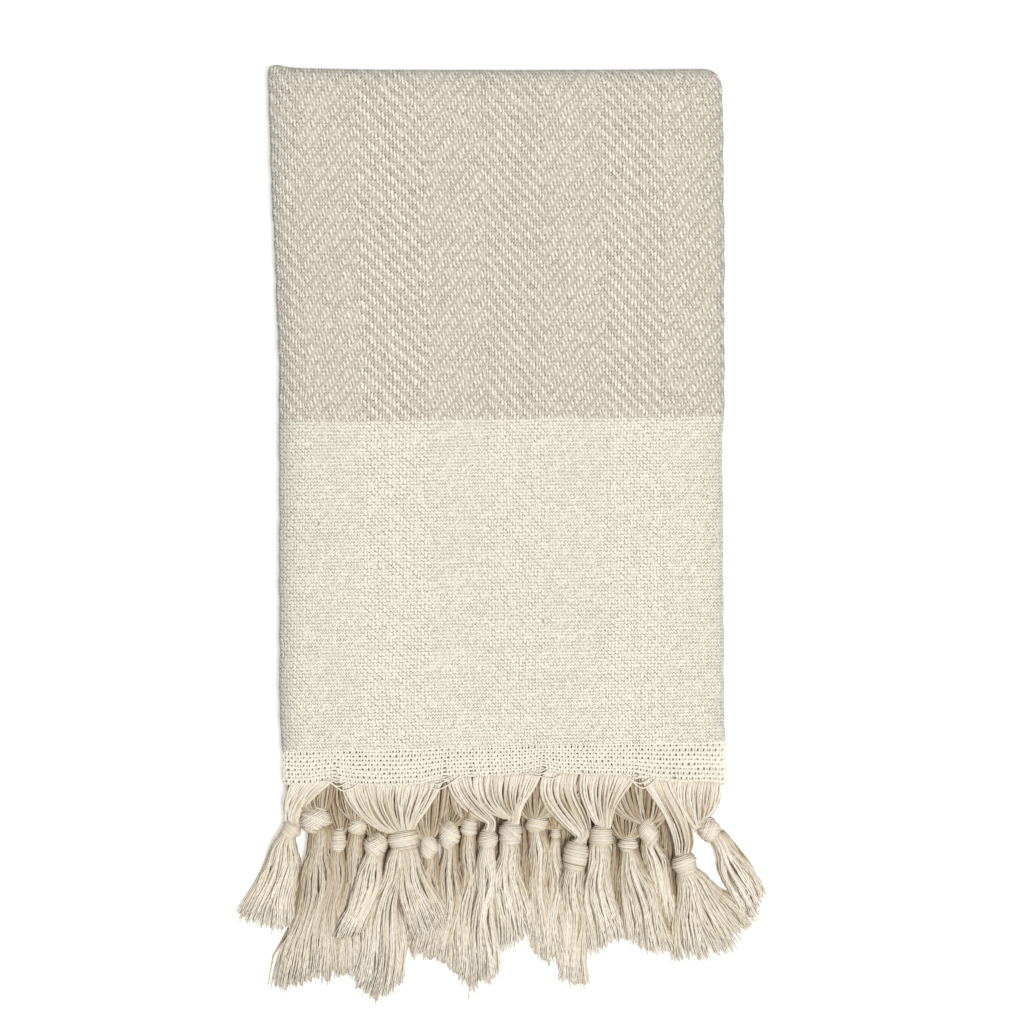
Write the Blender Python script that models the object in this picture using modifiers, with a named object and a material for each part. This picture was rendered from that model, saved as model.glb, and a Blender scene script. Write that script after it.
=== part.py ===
"""A cotton hammam towel, folded in four and lying face up, with its knotted fringe at the foot.

The towel is one woven length. Its two long sides are folded behind to meet near the middle, and it is
then folded in half across, so four layers lie on each other: the front panel, the two front flaps, the two
back flaps and the back panel. Both fringed ends come together at the foot. Each bundle of fringe is a fan of
warp threads, a knot and a skirt of locks.

X runs across the folded towel, Y up towards its top fold and Z up from the surface it lies on. The origin is
below the middle of the whole thing. Tables are in millimetres; what is built is in metres.
"""
import math
from collections import namedtuple

import bmesh
import bpy
import numpy as np
from mathutils import Matrix

MM = 0.001

# ---- driving dimensions, in millimetres ----
CLOTH_THICKNESS = 1.6
LAYER_PITCH = 2.0            # from one layer's middle to the next, so 0.4 is left between layers
LAYERS = 4
LEFT_FOLD_X = -123.0         # the folded towel's nominal box, before its edges are made uneven
RIGHT_FOLD_X = 121.0
TOP_FOLD_Y = 254.5
OPEN_END_Y = -136.0
FLAP_GAP = 4.0               # left between the two selvedges behind
PIECE_GAP = 0.35             # between the cloth's edge and the fringe, and between two locks
WEB_THICKNESS = 1.2          # a fan of threads
LOCK_WIDTH = 2.0             # a lock of the skirt at its widest
LOCK_ROOT_WIDTH = 1.15
SECOND_LEVEL = 2.45          # the underside of a skirt that lies over another
UPPER_ROW = 1.1              # the upper row's roots, over the knot's middle
LOWER_ROW = -0.9

# ---- shares of a bundle's own size ----
NECK_WIDTH = 0.5             # the fan's width where it enters the knot, of the knot's width
NECK_REACH = 0.22            # how far above the knot's middle it ends, of the knot's length
NECK_HEIGHT = 0.55           # the height at which it enters, of the knot's height
FAN_LEVEL = 0.6              # the fan stays at its layer's height over this much of its length
ROOT_SPREAD = 0.36           # the outer locks' roots from the knot's middle, of its width
ROOT_DEPTH = 0.2             # the roots below the knot's middle, of its length
PARTING = 0.08               # two skirts of one knot part this far from its middle, of its roots' spread
LEAVING = 0.3                # a lock heads the knot's way over about this much of its length
LOWER_DROP = (0.0, 0.25)     # where along a lock it comes down from the knot, in the lower row
UPPER_DROP = (0.3, 0.65)     # and in the upper row, once the locks have spread
WIDENING = 0.4               # a lock has its full width this far along
TAPER_FROM = 0.6
TIP_WIDTH = 0.75             # of the lock's own width

CLOTH_COLOUR = (0.72, 0.66, 0.55)
FRINGE_COLOUR = (0.74, 0.66, 0.53)
COTTON_ROUGHNESS = 0.9

# How the towel's outline strays from that box: the left and right edges by height, and the top edge and the
# open end by place across.
SideRow = namedtuple("SideRow", "y x")
EndRow = namedtuple("EndRow", "x y")
LEFT_EDGE = [
    SideRow(-139.0, -120.9), SideRow(-110.0, -121.9), SideRow(-92.0, -122.8), SideRow(95.0, -123.2),
    SideRow(139.0, -124.9), SideRow(161.0, -126.0), SideRow(183.0, -126.9), SideRow(210.0, -127.9),
    SideRow(238.0, -129.0), SideRow(250.0, -129.3), SideRow(256.0, -128.0),
]
RIGHT_EDGE = [
    SideRow(-139.0, 122.0), SideRow(-120.0, 121.4), SideRow(-85.0, 120.9), SideRow(10.0, 120.3),
    SideRow(43.0, 119.9), SideRow(65.0, 121.1), SideRow(160.0, 121.2), SideRow(183.0, 120.9),
    SideRow(238.0, 120.2), SideRow(247.0, 119.6), SideRow(252.0, 117.4), SideRow(254.5, 113.6),
]
TOP_EDGE = [
    EndRow(-129.0, 255.8), EndRow(-125.0, 257.0), EndRow(-119.0, 255.6), EndRow(-110.0, 254.9),
    EndRow(-70.0, 254.1), EndRow(0.0, 253.9), EndRow(60.0, 254.1), EndRow(108.0, 254.5), EndRow(121.0, 254.3),
]
OPEN_END = [
    EndRow(-121.0, -138.6), EndRow(-107.0, -139.0), EndRow(-93.8, -137.0), EndRow(-82.0, -139.6),
    EndRow(-45.0, -139.0), EndRow(-32.7, -135.9), EndRow(-20.0, -134.6), EndRow(10.0, -133.2),
    EndRow(20.6, -130.4), EndRow(32.0, -132.6), EndRow(60.0, -133.8), EndRow(72.9, -134.8),
    EndRow(84.0, -136.6), EndRow(110.0, -137.4), EndRow(122.0, -138.8),
]
TOP_REACH = 30.0             # how far down the cloth the top edge's unevenness is felt
OPEN_END_REACH = 70.0        # and how far up the open end's

# Soft swells of the front panel, where the folded layers do not lie quite flat.
Swell = namedtuple("Swell", "x y across along height")
SWELLS = [
    Swell(-88.0, 150.0, 22.0, 90.0, 0.35), Swell(-20.0, 60.0, 30.0, 70.0, 0.30),
    Swell(52.0, 170.0, 26.0, 60.0, 0.40), Swell(85.0, -20.0, 20.0, 60.0, 0.35),
    Swell(-60.0, -60.0, 34.0, 36.0, 0.30), Swell(20.0, -95.0, 30.0, 20.0, 0.45),
]

# Each knotted bundle: the knot's middle, its size in plan, its height and its lean (degrees, its foot to the
# right), then the stretch of the cloth's open end that it gathers and the layer that it comes from, 0 in front.
Bundle = namedtuple("Bundle", "name x y width length height lean fan_left fan_right layer")
BUNDLES = [
    Bundle("tassel_01", -116.9, -163.9, 9.5, 10.5, 8.0, -15, -120.2, -94.3, 0),
    Bundle("tassel_02", -103.4, -158.6, 15.0, 14.4, 10.0, 0, -112.0, -99.8, 1),
    Bundle("tassel_03", -91.0, -170.0, 8.2, 14.0, 8.0, -5, -97.0, -87.6, 2),
    Bundle("tassel_04", -80.6, -162.5, 9.9, 9.5, 8.0, -5, -85.5, -76.7, 1),
    Bundle("tassel_05", -70.2, -172.2, 11.6, 13.0, 10.0, -8, -75.6, -64.6, 2),
    Bundle("tassel_06", -55.1, -169.6, 15.6, 13.8, 11.0, 5, -93.2, -33.3, 0),
    Bundle("tassel_07", -41.2, -173.4, 9.2, 14.0, 8.0, 10, -44.8, -36.0, 1),
    Bundle("tassel_08", -29.9, -166.9, 10.4, 15.6, 9.0, 5, -34.4, -25.0, 2),
    Bundle("tassel_09", -19.0, -162.5, 8.6, 11.0, 8.0, 0, -23.4, -14.6, 1),
    Bundle("tassel_10", -8.5, -169.2, 9.7, 12.2, 10.0, -5, -32.2, -20.1, 0),
    Bundle("tassel_11", 3.8, -166.1, 11.6, 14.0, 11.0, -8, -19.5, 20.1, 0),
    Bundle("tassel_12", 18.2, -160.9, 11.0, 9.5, 8.0, 5, 13.5, 25.0, 1),
    Bundle("tassel_13", 28.6, -166.0, 5.6, 7.0, 6.0, 0, 26.1, 31.5, 2),
    Bundle("tassel_14", 39.6, -178.5, 12.4, 17.6, 11.0, -5, 21.2, 40.4, 0),
    Bundle("tassel_15", 53.7, -167.6, 12.2, 12.0, 11.0, -12, 41.0, 72.3, 0),
    Bundle("tassel_16", 68.6, -171.8, 9.8, 10.0, 9.0, 8, 63.0, 71.6, 2),
    Bundle("tassel_17", 79.8, -165.2, 9.8, 15.6, 9.0, 8, 75.0, 83.8, 1),
    Bundle("tassel_18", 99.8, -182.9, 12.0, 13.6, 11.0, 12, 73.4, 92.1, 0),
    Bundle("tassel_19", 113.2, -163.9, 11.0, 14.0, 10.0, 30, 92.7, 119.6, 0),
]

# Each skirt: the bundle it hangs from, the part of the knot's foot it leaves (-1 left half, 0 all, 1 right
# half), its locks, the rows they leave the knot in, where its outer tips lie, how much longer its middle is,
# how far its middle bows to the right, and whether it lies on the surface (0) or over its neighbours (1).
Skirt = namedtuple("Skirt", "bundle side locks rows left_x left_y right_x right_y belly bow level")
SKIRTS = [
    Skirt("tassel_01", 0, 8, 2, -144.2, -211.8, -119.0, -219.5, 1.5, 2.0, 0),
    Skirt("tassel_02", 0, 11, 2, -125.1, -248.4, -103.8, -244.4, 0.0, 1.8, 0),
    Skirt("tassel_03", 0, 4, 1, -98.0, -243.9, -92.0, -242.6, 0.0, 0.0, 0),
    Skirt("tassel_04", 0, 4, 1, -89.9, -241.9, -84.6, -241.0, 0.0, 0.0, 0),
    Skirt("tassel_05", 0, 5, 1, -90.6, -220.6, -82.6, -216.7, 0.0, 0.0, 1),
    Skirt("tassel_06", -1, 8, 2, -81.0, -243.0, -56.2, -246.4, 12.0, 1.0, 0),
    Skirt("tassel_06", 1, 8, 2, -52.2, -221.7, -33.8, -212.9, 1.5, 0.0, 1),
    Skirt("tassel_07", 0, 5, 1, -51.2, -231.0, -40.0, -232.4, 0.0, 0.0, 0),
    Skirt("tassel_08", 0, 5, 1, -37.2, -233.2, -29.0, -238.7, 0.0, 0.0, 0),
    Skirt("tassel_09", 0, 4, 1, -26.6, -242.0, -21.2, -245.9, 0.0, 0.0, 0),
    Skirt("tassel_10", 0, 7, 2, -17.2, -247.0, -5.4, -245.9, 1.5, 0.0, 0),
    Skirt("tassel_11", 0, 8, 2, -2.2, -228.6, 17.0, -219.8, 1.0, 0.0, 0),
    Skirt("tassel_12", 0, 4, 1, 19.6, -231.0, 25.0, -236.5, 0.0, 0.0, 0),
    Skirt("tassel_13", 0, 3, 1, 27.2, -238.7, 30.8, -242.6, 0.0, 0.0, 0),
    Skirt("tassel_14", 0, 6, 1, 33.6, -245.3, 45.2, -249.0, 1.0, 0.0, 0),
    Skirt("tassel_15", 0, 8, 2, 47.8, -228.0, 64.8, -223.9, 1.5, 0.0, 0),
    Skirt("tassel_16", 0, 9, 2, 67.6, -222.2, 91.4, -231.6, 1.0, 0.0, 0),
    Skirt("tassel_17", 0, 4, 1, 87.6, -209.0, 95.4, -204.6, 0.0, 0.6, 0),
    Skirt("tassel_18", 0, 12, 2, 98.4, -233.6, 129.0, -219.6, 6.0, 0.0, 0),
    Skirt("tassel_19", 0, 8, 2, 131.6, -213.0, 144.2, -200.6, 1.0, 0.0, 0),
]

# ---- sizes that follow from those ----
LAYER_Z = [CLOTH_THICKNESS / 2 + LAYER_PITCH * (LAYERS - 1 - layer) for layer in range(LAYERS)]
SIDE_RADIUS = LAYER_PITCH / 2
TOP_RADIUS = (LAYER_Z[0] - LAYER_Z[-1]) / 2
TOP_CENTRE_Z = (LAYER_Z[0] + LAYER_Z[-1]) / 2

# ---- how finely things are made ----
SIDE_TURN_STEPS = 5          # round a side fold
TOP_TURN_STEPS = 7           # round the top fold
LENGTH_STEPS = 9             # from the open end to the top fold
KNOT_SEGMENTS = 10
KNOT_RINGS = 6
WEB_ROWS = 6                 # along a fan of threads
LOCK_POINTS = 7


def clear_scene():
    for old in list(bpy.data.objects):
        bpy.data.objects.remove(old)


def new_collection(name):
    collection = bpy.data.collections.new(name)
    bpy.context.scene.collection.children.link(collection)
    return collection


def new_material(name, colour):
    material = bpy.data.materials.new(name)
    material.use_nodes = True
    shader = material.node_tree.nodes["Principled BSDF"]
    shader.inputs["Base Color"].default_value = (*colour, 1.0)
    shader.inputs["Roughness"].default_value = COTTON_ROUGHNESS
    shader.inputs["Metallic"].default_value = 0.0
    return material


def smooth(share):
    """A soft step from 0 to 1."""
    share = np.clip(share, 0.0, 1.0)
    return share * share * (3.0 - 2.0 * share)


def read(rows, along, value, at):
    """A table's value at a place, straight between its rows."""
    return np.interp(at, [getattr(row, along) for row in rows], [getattr(row, value) for row in rows])


def solidified(surface, thickness):
    """Gives an open surface its thickness, half on each side."""
    shell = surface.modifiers.new("thickness", "SOLIDIFY")
    shell.thickness = thickness * MM
    shell.offset = 0.0
    shell.use_even_offset = True


def grid_object(name, points, collection):
    """A surface through a grid of points, given in millimetres as rows x columns x 3."""
    rows, columns = points.shape[:2]
    corner = (np.arange(rows - 1)[:, None] * columns + np.arange(columns - 1)).ravel()
    faces = np.stack([corner, corner + 1, corner + columns + 1, corner + columns], axis=1)
    mesh = bpy.data.meshes.new(name)
    mesh.from_pydata((points.reshape(-1, 3) * MM).tolist(), [], faces.tolist())
    surface = bpy.data.objects.new(name, mesh)
    collection.objects.link(surface)
    return surface


# ---- the cloth ----
def cloth_section():
    """The cloth across its width, as x and height over the front panel's middle: the left flap from its
    selvedge, the left fold, the front panel, the right fold, and the right flap to its selvedge. It has a point
    wherever the open end bends, so that the fringe can follow that end."""
    middle = (LEFT_FOLD_X + RIGHT_FOLD_X) / 2
    left = LEFT_FOLD_X + SIDE_RADIUS
    right = RIGHT_FOLD_X - SIDE_RADIUS
    turn = np.radians(np.linspace(-90.0, 90.0, SIDE_TURN_STEPS + 1))
    ends = OPEN_END[0].x, OPEN_END[-1].x
    bends = np.interp([row.x for row in OPEN_END[1:-1]], ends, (LEFT_FOLD_X, RIGHT_FOLD_X))
    left_flap = np.append(bends[bends < middle - FLAP_GAP], middle - FLAP_GAP / 2)
    right_flap = np.insert(bends[bends > middle + FLAP_GAP], 0, middle + FLAP_GAP / 2)
    xs = np.concatenate([
        left_flap[::-1],
        left - SIDE_RADIUS * np.cos(turn),
        bends,
        right + SIDE_RADIUS * np.cos(turn),
        right_flap[::-1],
    ])
    heights = np.concatenate([
        np.full(len(left_flap), -2.0 * SIDE_RADIUS),
        SIDE_RADIUS * (np.sin(turn) - 1.0),
        np.zeros(len(bends)),
        SIDE_RADIUS * (np.sin(turn[::-1]) - 1.0),
        np.full(len(right_flap), -2.0 * SIDE_RADIUS),
    ])
    return xs, heights


def fold_in_half(heights):
    """The section carried up from the open end, over the top fold and down again behind: y and z for each row
    and each point of the section. A point deeper in the stack turns on a smaller radius."""
    up = np.linspace(0.0, 1.0, LENGTH_STEPS + 1)[:-1]
    turn = np.radians(np.linspace(0.0, 180.0, TOP_TURN_STEPS + 1))
    start = TOP_FOLD_Y - TOP_RADIUS
    straight = OPEN_END_Y + up * (start - OPEN_END_Y)
    radius = TOP_RADIUS + heights
    ys = np.concatenate([
        np.repeat(straight[:, None], len(heights), axis=1),
        start + np.sin(turn)[:, None] * radius,
        np.repeat(straight[::-1, None], len(heights), axis=1),
    ])
    zs = TOP_CENTRE_Z + np.concatenate([
        np.tile(radius, (LENGTH_STEPS, 1)),
        np.cos(turn)[:, None] * radius,
        np.tile(-radius, (LENGTH_STEPS, 1)),
    ])
    return ys, zs


def made_uneven(xs, ys, zs):
    """Moves the neat fold's points to the real towel's edges, and lifts the soft swells. The lowest layer stays
    flat on the surface."""
    across = (xs - LEFT_FOLD_X) / (RIGHT_FOLD_X - LEFT_FOLD_X)
    left = read(LEFT_EDGE, "y", "x", ys)
    right = read(RIGHT_EDGE, "y", "x", ys)
    new_x = left + across * (right - left)
    to_top = smooth((ys - TOP_FOLD_Y + TOP_REACH) / TOP_REACH)
    to_end = smooth((OPEN_END_Y + OPEN_END_REACH - ys) / OPEN_END_REACH)
    new_y = ys + to_top * (read(TOP_EDGE, "x", "y", new_x) - TOP_FOLD_Y)
    new_y = new_y + to_end * (read(OPEN_END, "x", "y", new_x) - OPEN_END_Y)
    lift = np.zeros_like(zs)
    for swell in SWELLS:
        away = ((new_x - swell.x) / swell.across) ** 2 + ((new_y - swell.y) / swell.along) ** 2
        lift += swell.height * np.exp(-away)
    in_stack = np.clip((zs - LAYER_Z[-1]) / (LAYER_Z[0] - LAYER_Z[-1]), 0.0, 1.0)
    return new_x, new_y, zs + lift * in_stack


def make_cloth(collection, material):
    section_x, heights = cloth_section()
    ys, zs = fold_in_half(heights)
    xs = np.tile(section_x, (len(ys), 1))
    cloth = grid_object("cloth", np.stack(made_uneven(xs, ys, zs), axis=-1), collection)
    solidified(cloth, CLOTH_THICKNESS)
    cloth.data.materials.append(material)
    cloth.data.shade_smooth()
    return cloth


# ---- one knotted bundle ----
def make_knot(bundle, collection):
    """The knot's body: a rounded lump as high as it really is, standing on the surface."""
    bpy.ops.mesh.primitive_uv_sphere_add(segments=KNOT_SEGMENTS, ring_count=KNOT_RINGS, radius=1.0)
    knot = bpy.context.object
    knot.name = knot.data.name = bundle.name
    half = (bundle.width / 2 * MM, bundle.length / 2 * MM, bundle.height / 2 * MM)
    lean = Matrix.Rotation(math.radians(bundle.lean), 4, "Z")
    place = Matrix.Translation((bundle.x * MM, bundle.y * MM, bundle.height / 2 * MM))
    knot.data.transform(place @ lean @ Matrix.Diagonal((*half, 1.0)))
    for old in list(knot.users_collection):
        old.objects.unlink(knot)
    collection.objects.link(knot)
    return knot


def make_fan(bundle, cutters):
    """The fan of threads as a thin web. It starts just clear of its layer's edge, draws in to the knot's neck,
    and comes down to the knot only over its last part, clear of what lies below it."""
    along = np.linspace(0.0, 1.0, WEB_ROWS)[:, None]
    bends = [row.x for row in OPEN_END if bundle.fan_left < row.x < bundle.fan_right]
    edge_x = np.array([[bundle.fan_left, *bends, bundle.fan_right]])
    across = (edge_x - bundle.fan_left) / (bundle.fan_right - bundle.fan_left)
    edge_y = read(OPEN_END, "x", "y", edge_x) - PIECE_GAP
    lean = math.radians(bundle.lean)
    reach = NECK_REACH * bundle.length
    neck_x = bundle.x - reach * math.sin(lean) + (across - 0.5) * NECK_WIDTH * bundle.width
    neck_y = bundle.y + reach * math.cos(lean)
    drawn_in = np.sin(along * math.pi / 2)
    xs = edge_x + drawn_in * (neck_x - edge_x)
    ys = edge_y + along * (neck_y - edge_y)
    layer_z = LAYER_Z[bundle.layer]
    settled = smooth((along - FAN_LEVEL) / (1.0 - FAN_LEVEL)).repeat(xs.shape[1], axis=1)
    zs = layer_z + settled * (NECK_HEIGHT * bundle.height - layer_z)
    fan = grid_object(bundle.name + "_fan", np.stack([xs, ys, zs], axis=-1), cutters)
    solidified(fan, WEB_THICKNESS)
    return fan


def lock_routes(bundle, skirt):
    """Each lock's route in plan, from inside the knot to its tip, as locks x points x 2."""
    lean = math.radians(bundle.lean)
    down = np.array([math.sin(lean), -math.cos(lean)])
    right = np.array([math.cos(lean), math.sin(lean)])
    half = ROOT_SPREAD * bundle.width
    parting = PARTING * half
    low, high = {-1: (-half, -parting), 0: (-half, half), 1: (parting, half)}[skirt.side]
    place = np.linspace(0.0, 1.0, skirt.locks)[:, None, None]
    foot = np.array([bundle.x, bundle.y]) + down * ROOT_DEPTH * bundle.length
    root = foot + right * (low + place * (high - low))
    tip = np.concatenate([skirt.left_x + place * (skirt.right_x - skirt.left_x),
                          skirt.left_y + place * (skirt.right_y - skirt.left_y)], axis=2)
    chord = tip - root
    reach = np.linalg.norm(chord, axis=2, keepdims=True)
    tip = tip + chord / reach * skirt.belly * 4.0 * place * (1.0 - place)
    leave = root + down * LEAVING * reach
    along = np.linspace(0.0, 1.0, LOCK_POINTS)[None, :, None]
    curve = (1 - along) ** 2 * root + 2 * along * (1 - along) * leave + along ** 2 * tip
    bow = np.sin(along * math.pi) * skirt.bow
    return curve + bow * np.array([1.0, 0.0])


def lock_widths(routes, skirt):
    """How wide each lock is along its route: as wide as the spread leaves room for, and thinner at its tip."""
    heading = np.gradient(routes, axis=1)
    heading /= np.linalg.norm(heading, axis=2, keepdims=True)
    step = np.diff(routes, axis=0)
    apart = np.abs(step[..., 0] * heading[:-1, :, 1] - step[..., 1] * heading[:-1, :, 0])
    room = np.minimum(np.vstack([apart, apart[-1:]]), np.vstack([apart[:1], apart])) - PIECE_GAP
    along = np.linspace(0.0, 1.0, LOCK_POINTS)[None, :]
    if skirt.rows == 2:
        still_stacked = along < sum(UPPER_DROP) / 2
        room = np.where(still_stacked, room + np.minimum(room + PIECE_GAP, LOCK_ROOT_WIDTH), room)
    taper = 1.0 - (1.0 - TIP_WIDTH) * smooth((along - TAPER_FROM) / (1.0 - TAPER_FROM))
    grown = LOCK_ROOT_WIDTH + (LOCK_WIDTH - LOCK_ROOT_WIDTH) * smooth(along / WIDENING)
    return np.minimum(grown, room) * taper


def make_locks(bundle, skirt, cutters):
    """The skirt's locks as four-sided tubes that come down from the knot and lie level on what is below."""
    curve = bpy.data.curves.new(bundle.name + "_locks", "CURVE")
    curve.dimensions = "3D"
    curve.twist_mode = "Z_UP"
    curve.bevel_depth = 1.0
    curve.bevel_resolution = 0
    curve.use_fill_caps = True
    routes = lock_routes(bundle, skirt)
    widths = lock_widths(routes, skirt)
    along = np.linspace(0.0, 1.0, LOCK_POINTS)
    base = skirt.level * SECOND_LEVEL
    for index in range(skirt.locks):
        upper = skirt.rows == 2 and index % 2 == 1
        root_z = bundle.height / 2 + (UPPER_ROW if upper else LOWER_ROW)
        start, end = UPPER_DROP if upper else LOWER_DROP
        resting = base + widths[index] / 2
        heights = root_z + smooth((along - start) / (end - start)) * (resting - root_z)
        spline = curve.splines.new("POLY")
        spline.points.add(LOCK_POINTS - 1)
        for point, (x, y), z, width in zip(spline.points, routes[index], heights, widths[index]):
            point.co = (x * MM, y * MM, z * MM, 1.0)
            point.radius = width / math.sqrt(2.0) * MM
            point.tilt = math.radians(45.0)
    guide = bpy.data.objects.new(curve.name, curve)
    cutters.objects.link(guide)
    evaluated = guide.evaluated_get(bpy.context.evaluated_depsgraph_get())
    mesh = bpy.data.meshes.new_from_object(evaluated)
    bpy.data.objects.remove(guide)
    edit = bmesh.new()
    edit.from_mesh(mesh)
    bmesh.ops.remove_doubles(edit, verts=edit.verts, dist=0.01 * MM)
    edit.to_mesh(mesh)
    edit.free()
    locks = bpy.data.objects.new(curve.name, mesh)
    cutters.objects.link(locks)
    return locks


def fuse(whole, piece):
    """Joins a piece to the whole, so that they are one body."""
    piece.hide_render = True
    piece.display_type = "WIRE"
    union = whole.modifiers.new(piece.name, "BOOLEAN")
    union.operation = "UNION"
    union.solver = "EXACT"
    union.object = piece


def make_tassel(bundle, collection, cutters, material):
    tassel = make_knot(bundle, collection)
    tassel.data.materials.append(material)
    fuse(tassel, make_fan(bundle, cutters))
    for skirt in SKIRTS:
        if skirt.bundle == bundle.name:
            fuse(tassel, make_locks(bundle, skirt, cutters))
    return tassel


def main():
    clear_scene()
    towel = new_collection("hammam_towel")
    cutters = new_collection("cutters")
    make_cloth(towel, new_material("towel_cloth", CLOTH_COLOUR))
    fringe = new_material("fringe_cotton", FRINGE_COLOUR)
    for bundle in BUNDLES:
        make_tassel(bundle, towel, cutters, fringe)


main()
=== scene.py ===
"""The folded hammam towel as it looks: a thin sheet of herringbone, its plain woven bands yarn by yarn, and the
knotted fringe thread by thread, on a plain pale floor under soft light.

Sizes are in millimetres and what is built is in metres. X runs across the folded towel, Y towards its top fold,
Z up. The tables of edges and bundles are those of the towel's solids, and the skirts follow theirs.
"""

import math
from collections import namedtuple

import bpy
import numpy as np
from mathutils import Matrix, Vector


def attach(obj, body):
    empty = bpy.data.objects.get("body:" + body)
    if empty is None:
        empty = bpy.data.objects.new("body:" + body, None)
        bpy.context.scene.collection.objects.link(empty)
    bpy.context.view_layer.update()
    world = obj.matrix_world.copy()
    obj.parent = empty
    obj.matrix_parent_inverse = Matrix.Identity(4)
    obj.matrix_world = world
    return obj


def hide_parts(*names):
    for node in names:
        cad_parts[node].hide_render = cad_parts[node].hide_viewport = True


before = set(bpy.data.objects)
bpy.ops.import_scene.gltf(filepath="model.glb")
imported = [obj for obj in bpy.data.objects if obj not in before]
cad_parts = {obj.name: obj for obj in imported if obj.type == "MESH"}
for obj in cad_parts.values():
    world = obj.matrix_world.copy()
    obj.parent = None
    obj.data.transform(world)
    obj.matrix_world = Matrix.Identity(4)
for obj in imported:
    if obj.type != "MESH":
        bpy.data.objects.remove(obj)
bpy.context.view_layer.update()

bl_info = {
    "name": "Hammam Towel",
    "version": (1, 0, 0),
    "blender": (4, 5, 0),
    "location": "3D View > Sidebar > Towel",
    "description": "Builds a folded cotton hammam towel with a knotted fringe",
    "category": "Add Mesh",
}

MM = 0.001
SEED = 1207
PHASES = 6.3                 # random phases of waves run from 0 to here


def table(row, *values):
    """A table's rows, each from its group of values."""
    return [row(*value) for value in values]


# ---- the folded cloth, as in the solids ----
LAYER_PITCH = 2.0
LAYERS = 4
LEFT_FOLD_X, RIGHT_FOLD_X = -123.0, 121.0
TOP_FOLD_Y = 254.5
OPEN_END_Y = -136.0
FLAP_GAP = 4.0
SHEET_THICKNESS = 1.2
CLOTH_THICKNESS = 1.6        # of a layer of the solids, with the weave's relief

# The sides' x at a height, and the ends' y at a place across.
LEFT_EDGE = [
    (-139, -120.9), (-110, -121.9), (-92, -122.8), (95, -123.2), (139, -124.9), (161, -126), (183, -126.9),
    (210, -127.9), (238, -129), (250, -129.3), (256, -128)]
RIGHT_EDGE = [
    (-139, 122), (-120, 121.4), (-85, 120.9), (10, 120.3), (43, 119.9), (65, 121.1), (160, 121.2), (183, 120.9),
    (238, 120.2), (247, 119.6), (252, 117.4), (254.5, 113.6)]
TOP_EDGE = [
    (-129, 255.8), (-125, 257), (-119, 255.6), (-110, 254.9), (-70, 254.1), (0, 253.9), (60, 254.1), (108, 254.5),
    (121, 254.3)]
OPEN_END = [
    (-121, -138.6), (-107, -139), (-93.8, -137), (-82, -139.6), (-45, -139), (-32.7, -135.9), (-20, -134.6),
    (10, -133.2), (20.6, -130.4), (32, -132.6), (60, -133.8), (72.9, -134.8), (84, -136.6), (110, -137.4),
    (122, -138.8)]
# Where the plain band ends and where the beige begins: both weft lines rise a little to the right.
BAND_TOP = [(-122, -121), (0, -118), (60, -116.6), (121, -115.5)]
BEIGE_EDGE = [(-123, 60.5), (-55, 61.1), (0, 62.2), (121, 63.8)]
TOP_REACH = 30.0
SOFT_LEFT, SOFT_RIGHT, SOFT_TOP = 12.0, 9.0, 7.5   # how far in from a fold the stack begins to thin
THINNING = 0.32              # of its height, at the fold

Swell = namedtuple("Swell", "x y across along height")
SWELLS = table(
    Swell, (-88, 150, 22, 90, 0.35), (-20, 60, 30, 70, 0.3), (52, 170, 26, 60, 0.4), (85, -20, 20, 60, 0.35),
    (-60, -60, 34, 36, 0.3), (20, -95, 30, 20, 0.45))

LAYER_Z = [CLOTH_THICKNESS / 2 + LAYER_PITCH * (LAYERS - 1 - layer) for layer in range(LAYERS)]
SIDE_RADIUS = LAYER_PITCH / 2
TOP_RADIUS = (LAYER_Z[0] - LAYER_Z[-1]) / 2
TOP_CENTRE_Z = (LAYER_Z[0] + LAYER_Z[-1]) / 2
MIDDLE_X = (LEFT_FOLD_X + RIGHT_FOLD_X) / 2

# Across the cloth from selvedge to selvedge, and along it from one open end to the other.
FLAP = MIDDLE_X - FLAP_GAP / 2 - (LEFT_FOLD_X + SIDE_RADIUS)
SIDE_TURN = math.pi * SIDE_RADIUS
PANEL = RIGHT_FOLD_X - LEFT_FOLD_X - 2 * SIDE_RADIUS
ACROSS = 2 * FLAP + 2 * SIDE_TURN + PANEL
PANEL_START = FLAP + SIDE_TURN
PANEL_X = LEFT_FOLD_X + SIDE_RADIUS - PANEL_START   # from a distance across to the x on the panel
STRAIGHT = TOP_FOLD_Y - TOP_RADIUS - OPEN_END_Y
TOP_TURN = math.pi * TOP_RADIUS
ALONG = 2 * STRAIGHT + TOP_TURN
BAND_DEPTH = 17.5            # along the cloth, nominal
BEIGE_START = 198.0

# ---- threads ----
# The herringbone turns at these places across the front panel, and has the same number of warps between them.
TURN_PLACES = (-108.1, -77.8, -40.4, -9.1, 23.4, 54.7, 89.4, 121.8)
WARPS_PER_STRIPE = 19
FIRST_TURN = 12.5
WARP_PITCH = 1.7
FIRST_FOLD, LAST_FOLD = 3.4, 145.4   # the warps at the two side folds of the front panel
BAND_WEFTS, CREAM_WEFTS, BEIGE_WEFTS = 8, 98, 100   # the beige to the middle of the cloth


class Bundle(namedtuple("Bundle", "number x y width length height lean fan_left fan_right layer slant crossing")):
    """A knotted bundle: its knot's middle, size and lean, the fan's ends, the layer that it comes from, and how
    the knot is wound: the slant of its turns in degrees, and of the strands that cross them, 0 for none."""

    @property
    def name(self):
        """The name of its solid."""
        return f"tassel_{self.number:02d}"


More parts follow.
